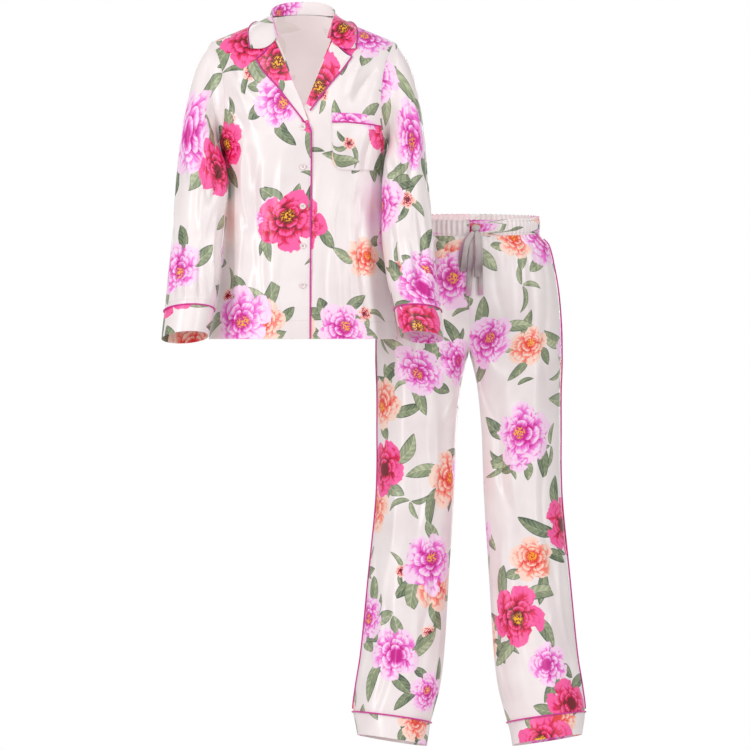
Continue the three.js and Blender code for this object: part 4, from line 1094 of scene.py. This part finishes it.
legFolds = {  # across the panel from the middle in mm, height
    (-1, "front"): [
        (40, -430, 60, -620, 9, 2.0), (90, -440, 110, -700, 9, -2.2), (136, -460, 140, -760, 9, 2.0),
        (20, -600, 70, -690, 7, -2.6), (16, -640, 56, -790, 6, 2.2), (70, -720, 84, -1010, 8, 2.4),
        (110, -760, 104, -1120, 9, -2.4), (150, -800, 146, -1180, 8, 2.2),
        (60, -980, 78, -1240, 8, -2.4), (96, -1080, 88, -1350, 8, 2.4),
        (130, -1130, 124, -1376, 7, -2.6), (40, -1120, 52, -1370, 7, 2.0),
        (166, -1000, 160, -1330, 7, -2.0),
    ],
    (1, "front"): [
        (36, -436, 50, -600, 9, -1.8), (84, -440, 100, -660, 9, 2.2), (130, -450, 138, -740, 9, -2.0),
        (18, -606, 64, -700, 7, 2.6), (20, -660, 60, -800, 6, -2.2), (66, -740, 78, -980, 8, -2.4),
        (104, -700, 98, -1060, 9, 2.4), (146, -780, 140, -1140, 8, -2.2),
        (56, -1000, 72, -1260, 8, 2.4), (92, -1060, 100, -1340, 8, -2.4),
        (126, -1160, 118, -1376, 7, 2.6), (38, -1100, 46, -1350, 7, -2.0),
        (164, -960, 158, -1290, 7, 2.0),
    ],
    (-1, "back"): [
        (50, -440, 66, -640, 10, -2.2), (104, -450, 118, -720, 10, 2.2), (24, -620, 80, -760, 8, -3.0),
        (70, -760, 80, -1060, 9, -2.4), (120, -800, 112, -1180, 9, 2.4), (90, -1080, 98, -1370, 8, 2.4),
        (140, -1100, 132, -1376, 8, -2.2), (44, -1040, 50, -1340, 8, 2.0),
    ],
    (1, "back"): [
        (46, -436, 60, -610, 10, 2.0), (98, -450, 112, -700, 10, -2.2), (22, -616, 78, -748, 8, 3.0),
        (74, -780, 82, -1080, 9, 2.4), (116, -760, 110, -1140, 9, -2.4),
        (94, -1100, 86, -1370, 8, -2.4), (144, -1060, 136, -1360, 8, 2.2),
        (40, -1020, 52, -1320, 8, -2.0),
    ],
}


def trouserPoint(side, part, u, v):
    away = -1 if part == "front" else 1
    across = np.clip(u, 0.0003, 0.9997)
    low = legCuff["top"] - legCuff["sideRise"] * np.cos(across * np.pi) - trousers["hemTilt"] * (
        legCuff["depth"] * np.sin(across * np.pi) * away) + 0.4
    waistY = waist["depth"] * np.cos(across * np.pi / 2) * away
    high = waist["foot"] + waist["rise"] * (waistY + waist["depth"]) - 0.2
    z = mix(low, high, 1 - (1 - v) ** 1.5)
    span = trousers["parting"] + trousers["fade"] * smooth(0, 0.35, across)
    parting = np.clip((trousers["crotch"] + trousers["parting"] - z) / span, 0, 1)
    legShare = mix(1 - np.sqrt(1 - parting ** 2), smooth(0, 1, parting), smooth(0, 0.25, across))
    angle = across * np.pi / 2
    power = 2 / 2.2
    seatX = read(seatForm, "half", z) * np.sin(angle) ** power
    seatY = read(seatForm, part, z) * np.maximum(0, np.cos(angle)) ** power
    outer, inner = read(legForm, "outer", z), read(legForm, "inner", z)
    legX = (outer + inner) / 2 - (outer - inner) / 2 * np.cos(across * np.pi)
    legY = read(legForm, "depth", z) * np.sin(across * np.pi)
    fold = np.zeros_like(z)
    for at, width, depth, start, end in legDrape:
        t = (z - start) / (end - start)
        ends = np.where((t > 0) & (t < 1), np.minimum(np.minimum(1, 5 * t), 5 * (1 - t)), 0)
        fold = fold + depth * ends * np.exp(-((across - at) / width) ** 2)
    fold = fold + softFolds(legFolds[side, part], across * trousers["panel"], z) + ripple(
        across * trousers["panel"], z, 6 + side + 0.4 * away, 0.8) * smooth(high - 30, high - 120, z)
    drop = high - z
    pleat = 1 + 0.35 * np.sin(across * 23 + side)
    gather = (1.5 * np.cos(across * 20 * 2 * np.pi) * np.exp(-drop / 16)
              + 1.6 * pleat * np.cos(across * 9.5 * 2 * np.pi + 0.6 * side) * np.exp(-drop / 60)
              * smooth(0, 14, drop)
              + 1.4 * np.cos(across * 5.2 * 2 * np.pi + side) * np.exp(-drop / 110) * smooth(0, 30, drop))
    edge = np.minimum(1, np.minimum(8 * (1 - across), 8 * across))
    x = np.maximum(0.05, mix(seatX, legX, legShare))
    y = mix(seatY, legY, legShare) + (fold + gather) * edge
    return trousers["x"] + side * x, trousers["y"] + away * y + read(legForm, "midY", z) * legShare, z


trouserPanels = {  # the wearer's side, which part, where its print starts, which way its wall lies
    "trouserFrontRight": (-1, "front", (300, 4400), -1), "trouserFrontLeft": (1, "front", (900, 4700), 1),
    "trouserBackRight": (-1, "back", (1500, 4400), 1), "trouserBackLeft": (1, "back", (2100, 4550), -1),
}
for name, (side, part, spot, inward) in trouserPanels.items():
    sheetOfCloth(name, lambda u, v: trouserPoint(side, part, u, v), *trousers["cells"], trousers["cloth"],
                 inward=inward, printAt=spot)


def bandPoint(u, v):
    turn = u * 2 * np.pi
    slow = 0.35 * np.sin(turn * 7 + 1) + 0.25 * np.sin(turn * 17)
    wave = waist["gatherDepth"] * (0.85 + 0.3 * slow) * np.cos(u * waist["gathers"] * 2 * np.pi + 1.2 * slow)
    pinch = 1 - 0.55 * np.exp(-((v - 0.13) / 0.09) ** 2) - 0.45 * np.exp(-((v - 0.86) / 0.08) ** 2)
    crown = 1.1 * np.sin(np.pi * v) ** 0.6 - 0.6 * np.exp(-((v - 0.86) / 0.05) ** 2)
    front, back, half = (read(seatForm, name, waist["girthAt"]) for name in ("front", "back", "half"))
    depth, half = np.where(np.cos(turn) > 0, front, back) + wave * pinch, half + wave * pinch
    y = -depth * np.cos(turn)
    foot = waist["foot"] + waist["rise"] * (y + waist["depth"])
    z = mix(foot, foot + waist["top"] - waist["foot"] + wave * 0.5, v)
    return trousers["x"] + (half + crown) * np.sin(turn), trousers["y"] + y - crown * np.cos(turn), z


sheetOfCloth("waistband", bandPoint, *waist["cells"], waist["cloth"], closed=True, printAt=(2600, 4100))


def legRing(side, turn, drop):
    c, s = np.cos(turn * 2 * np.pi), np.sin(turn * 2 * np.pi)
    z = mix(legCuff["top"], legCuff["hem"], drop) + legCuff["sideRise"] * c + (
        trousers["hemTilt"] * legCuff["depth"] * s)
    outer, inner = read(legForm, "outer", z), read(legForm, "inner", z)
    soft = 0.9 * np.sin(turn * 2 * np.pi * 3 + side) + 0.6 * np.sin(turn * 2 * np.pi * 7 + 2 * side)
    x = (outer + inner) / 2 + ((outer - inner) / 2 + soft * smooth(0, 0.5, drop)) * c
    return (trousers["x"] + side * x, trousers["y"] + read(legForm, "midY", z)
            - (read(legForm, "depth", z) + soft * smooth(0, 0.5, drop)) * s, z)


for side, name, spot in ((-1, "Right", (3300, 4200)), (1, "Left", (3900, 4600))):
    sheetOfCloth("legCuff" + name, lambda u, v: legRing(side, u, v), *legCuff["cells"], legCuff["cloth"],
                 inward=side, closed=True, printAt=spot, finishes=[printedSatin, printedSatin])
    ring = np.stack(legRing(side, turns, np.zeros_like(turns)), axis=1)
    away = (ring - ring.mean(axis=0)) * (1, 1, 0)
    away /= np.linalg.norm(away, axis=1, keepdims=True)
    layPiping("pipingLeg" + name, ring + away * piping["beside"], away, 170)
    v = np.clip(np.linspace(0, 17 / 18, 90), 0.004, 1)
    line = np.stack(trouserPoint(side, "front", np.ones_like(v), v), axis=1)
    line = line + (side * piping["inSeam"], -0.2, 0)
    layPiping("pipingSide" + name, line, np.broadcast_to((float(side), 0, 0), line.shape), 300)
print("trousers are sewn")


# The tie
def onTrouserFront(x, z, out):
    half = read(seatForm, "half", z)
    front = read(seatForm, "front", z) * roundOff(x / half, 2.2) + waist["gatherDepth"]
    return np.stack([trousers["x"] + x, trousers["y"] - front - out, z], axis=-1)


tie = {"width": 11, "wall": 1.5, "knotAt": (13, -395.5), "knot": (8.6, 5.3, 7.4)}
tieStrands = {
    "tieLoopRight": [(8, -403.2, 6.9), (-4, -424, 7), (-9, -448, 6.5), (-11, -470, 6), (-13, -482, 4),
                     (-16, -470, 2), (-16, -448, 2), (-9, -424, 2), (4, -407, 2.2)],
    "tieLoopLeft": [(15, -402.3, 8.6), (17, -432, 12), (17, -462, 12), (16, -486, 11.5), (15, -493, 9.8),
                    (15, -484, 8), (15, -462, 8), (14, -432, 7.6), (13, -410, 7)],
    "tieTailRight": [(7.4, -403.2, 4.4), (4, -440, 4), (1, -480, 3), (-1, -510, 3), (-2, -532, 3)],
    "tieTailLeft": [(18.9, -403.2, 4.4), (21, -440, 3.6), (21.5, -480, 3), (22, -510, 3), (22.5, -530, 3)],
}
for name, rows in tieStrands.items():
    spots = np.array(rows, float)
    path = smoothPath(onTrouserFront(spots[:, 0], spots[:, 1], spots[:, 2]), 90)
    up = np.cross((1.0, 0, 0), alongPath(path))
    t = np.linspace(0, 1, len(path))
    ends = 1 - 0.35 * np.exp(-t / 0.05) - (0.35 * np.exp(-(1 - t) / 0.05) if "Loop" in name else 0)
    width = tie["width"] / 2 * ends * (1 + 0.03 * np.sin(t * 17))
    cordAlong(name, path, up, width, tie["wall"] / 2, tieSatin, 20, 0.7)


def tieKnot():
    rows, columns = 40, 56
    v, u = np.meshgrid(np.linspace(0.001, 1 - 0.001, rows), np.arange(columns) / columns, indexing="ij")
    up, turn = v * np.pi, u * 2 * np.pi
    x, y, z = np.sin(up) * np.cos(turn), np.sin(up) * np.sin(turn), np.cos(up)
    band = np.abs(x * 0.9 + z * 0.35)
    puff = 1 - 0.16 * np.exp(-((band - 0.42) / 0.07) ** 2) + 0.03 * np.sin(9 * z + 4 * x)
    centre = onTrouserFront(np.array(float(tie["knotAt"][0])), np.array(tie["knotAt"][1]), 5.6)
    points = np.stack([axis * half * puff for axis, half in zip((x, y, z), tie["knot"])], axis=-1)
    points = points.reshape(-1, 3) + centre
    ids = ringFaces(points, rows, columns)
    flat = np.stack([u * 40, v * 24], axis=-1).reshape(-1, 2)
    toMesh("tieKnot", points, ids, [tieSatin], None, flat[ids], sharp=60)


tieKnot()
print("tie is knotted")


# Stitches
def makeStitchTree():
    tree = bpy.data.node_groups.new("stitchRow", "GeometryNodeTree")
    face = tree.interface
    face.new_socket("Geometry", in_out="INPUT", socket_type="NodeSocketGeometry")
    for label, value in (("Pitch", 0.0030), ("Stitch Length", 0.0021), ("Thread Radius", 0.00024)):
        face.new_socket(label, in_out="INPUT", socket_type="NodeSocketFloat").default_value = value
    face.new_socket("Thread", in_out="INPUT", socket_type="NodeSocketMaterial")
    face.new_socket("Geometry", in_out="OUTPUT", socket_type="NodeSocketGeometry")
    nodes, links = tree.nodes, tree.links
    given, out = nodes.new("NodeGroupInput").outputs, nodes.new("NodeGroupOutput").inputs
    line = nodes.new("GeometryNodeMeshToCurve")
    spots = nodes.new("GeometryNodeCurveToPoints")
    spots.mode = "LENGTH"
    bead = nodes.new("GeometryNodeMeshUVSphere")
    bead.inputs["Segments"].default_value, bead.inputs["Rings"].default_value = 6, 4
    bead.inputs["Radius"].default_value = 1.0
    align = nodes.new("FunctionNodeAlignRotationToVector")
    align.axis = "Z"
    lay = nodes.new("GeometryNodeInstanceOnPoints")
    size = nodes.new("ShaderNodeCombineXYZ")
    half = nodes.new("ShaderNodeMath")
    half.operation = "MULTIPLY"
    half.inputs[1].default_value = 0.5
    real, finish = nodes.new("GeometryNodeRealizeInstances"), nodes.new("GeometryNodeSetMaterial")
    for source, target in (
            (given["Geometry"], line.inputs["Mesh"]), (line.outputs["Curve"], spots.inputs["Curve"]),
            (given["Pitch"], spots.inputs["Length"]), (spots.outputs["Points"], lay.inputs["Points"]),
            (spots.outputs["Tangent"], align.inputs["Vector"]), (align.outputs[0], lay.inputs["Rotation"]),
            (bead.outputs["Mesh"], lay.inputs["Instance"]), (given["Stitch Length"], half.inputs[0]),
            (given["Thread Radius"], size.inputs[0]), (given["Thread Radius"], size.inputs[1]),
            (half.outputs[0], size.inputs[2]), (size.outputs[0], lay.inputs["Scale"]),
            (lay.outputs[0], real.inputs[0]), (real.outputs[0], finish.inputs["Geometry"]),
            (given["Thread"], finish.inputs["Material"]), (finish.outputs[0], out["Geometry"])):
        links.new(source, target)
    return tree


stitchTree = makeStitchTree()


def stitch(name, lines, pitch=3.0, length=2.1, radius=0.24):
    mesh = bpy.data.meshes.new(name)
    points, edges, start = [], [], 0
    for line in lines:
        points.append(np.asarray(line))
        edges += [(start + k, start + k + 1) for k in range(len(line) - 1)]
        start += len(line)
    mesh.from_pydata((np.concatenate(points) * mm).tolist(), edges, [])
    piece = bpy.data.objects.new(name, mesh)
    bpy.context.collection.objects.link(piece)
    row = piece.modifiers.new("stitchRow", "NODES")
    row.node_group = stitchTree
    values = {"Pitch": pitch * mm, "Stitch Length": length * mm, "Thread Radius": radius * mm,
              "Thread": thread}
    for item in stitchTree.interface.items_tree:
        if item.in_out == "INPUT" and item.name in values:
            row[item.identifier] = values[item.name]
    piece.update_tag()
    ready = piece.evaluated_get(bpy.context.evaluated_depsgraph_get())
    sewn = bpy.data.meshes.new_from_object(ready)
    piece.modifiers.remove(row)
    piece.data = sewn
    sewn.name = name
    sewn.materials.clear()
    sewn.materials.append(thread)
    sewn.polygons.foreach_set("material_index", np.zeros(len(sewn.polygons), np.int32))
    sewn.shade_smooth()
    bpy.data.meshes.remove(mesh)
    made[name] = piece


def rowOn(at, u, v, lift, inward=1):
    here = np.stack(at(u, v), axis=-1)
    step = 1e-3
    left, right, down, high = (np.clip(value, 0, 1) for value in (u - step, u + step, v - step, v + step))
    across = np.stack(at(right, v), axis=-1) - np.stack(at(left, v), axis=-1)
    up = np.stack(at(u, high), axis=-1) - np.stack(at(u, down), axis=-1)
    out = np.cross(across, up) * inward
    return here + out / np.linalg.norm(out, axis=1, keepdims=True) * lift


across = np.linspace(0.01, 0.99, 150)
hemV = np.full_like(across, 0.031)
seamRows = [rowOn(lambda u, v: frontPoint(-1, u, v), across, hemV, 0.15, -1),
            rowOn(lambda u, v: frontPoint(1, u, v), across, hemV, 0.15),
            rowOn(backPoint, across, hemV, 0.15, -1)]
edgeLine = np.stack([read(frontEdge, "right", edgeZ) - 3.2, edgeZ], axis=1)
seamRows.append(onFrontLine(edgeLine, 0.15))
stitch("jacketStitches", seamRows)
ringTurns = np.linspace(0, 1, 120)
stitch("cuffStitches", [
    rowOn(lambda u, v: sleevePoint(side, u, v * sleeve["end"]), ringTurns,
          np.full_like(ringTurns, 0.985), 0.2, side)
    for side in (-1, 1)])
v = np.linspace(0.03, 0.97, 80)
stitch("lapelStitches", [
    rowOn(lambda u, v: lapelPoint(side, u, v), np.full_like(v, 0.93), v, 0.15, -side) for side in (-1, 1)]
    + [rowOn(collarPoint, np.linspace(0.01, 0.99, 240), np.full(240, 0.95), 0.15)])
bagAcross, bagUp = np.linspace(0.02, 0.98, 90), np.linspace(0.02, 1.0, 50)
stitch("pocketStitches", [
    rowOn(bagPoint, bagAcross, np.full_like(bagAcross, 0.02), 0.15),
    *(rowOn(bagPoint, np.full_like(bagUp, across), bagUp, 0.15) for across in (0.02, 0.985))])
legRows = [rowOn(lambda u, v: legRing(side, u, v), ringTurns, np.full_like(ringTurns, 0.06), 0.2, side)
           for side in (-1, 1)]
for side, part, _, inward in trouserPanels.values():
    legRows.append(rowOn(lambda u, v: trouserPoint(side, part, u, v), np.linspace(0.02, 0.98, 90),
                         np.full(90, 0.996), 0.2, inward))
stitch("trouserStitches", legRows)
bandTurns = np.linspace(0, 1, 1200)
stitch("waistStitches", [rowOn(bandPoint, bandTurns, np.full_like(bandTurns, v), 0.15) for v in (0.13, 0.86)],
       pitch=2.6, length=1.9)
holeRows = []
for number in range(button["count"]):
    z = button["top"] - button["pitch"] * number
    t = np.linspace(0, 2 * np.pi, 60)
    spots = np.stack([1.0 + 8.2 * np.cos(t), z + 1.5 * np.sign(np.sin(t)) * np.abs(np.sin(t)) ** 0.6], axis=1)
    holeRows.append(onFrontLine(spots, 0.12))
stitch("buttonholeStitches", holeRows, pitch=0.55, length=0.5, radius=0.36)
print("stitches are sewn")

# What each piece stands for
def nodesOf(name):
    if name in ("sleeveRight", "sleeveLeft"):
        side = name.removeprefix("sleeve").lower()
        return [f"sleeve_{length}_{part}_{side}"
                for length in ("upper", "lower") for part in ("front", "back")]
    if name.startswith("buttonThread") or name.endswith("Stitches"):
        return []
    return ["pocket"] if name == "pocketBag" else [re.sub("([A-Z0-9])", r"_\1", name).lower()]


for name, piece in made.items():
    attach(piece, "root")
    if nodesOf(name):
        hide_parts(*nodesOf(name))

floor = bpy.data.objects.new("studioFloor", bpy.data.meshes.new("studioFloor"))
wide, deep = studio["floorSize"]
middle, height = studio["aim"][0], studio["floorHeight"]
corners = [(middle + x * wide / 2, y * deep / 2, height) for x, y in ((-1, -1), (1, -1), (1, 1), (-1, 1))]
floor.data.from_pydata(corners, [], [(0, 1, 2, 3)])
paper, tree, look = newFinish("palePaper", 0.8)
grain = cloudy(objectPlace(tree), 40.0, 3.0)
feed(look["Base Color"], tint(grain, (0.93, 0.93, 0.93, 1), (0.90, 0.90, 0.90, 1)))
floor.data.materials.append(paper)
bpy.context.collection.objects.link(floor)
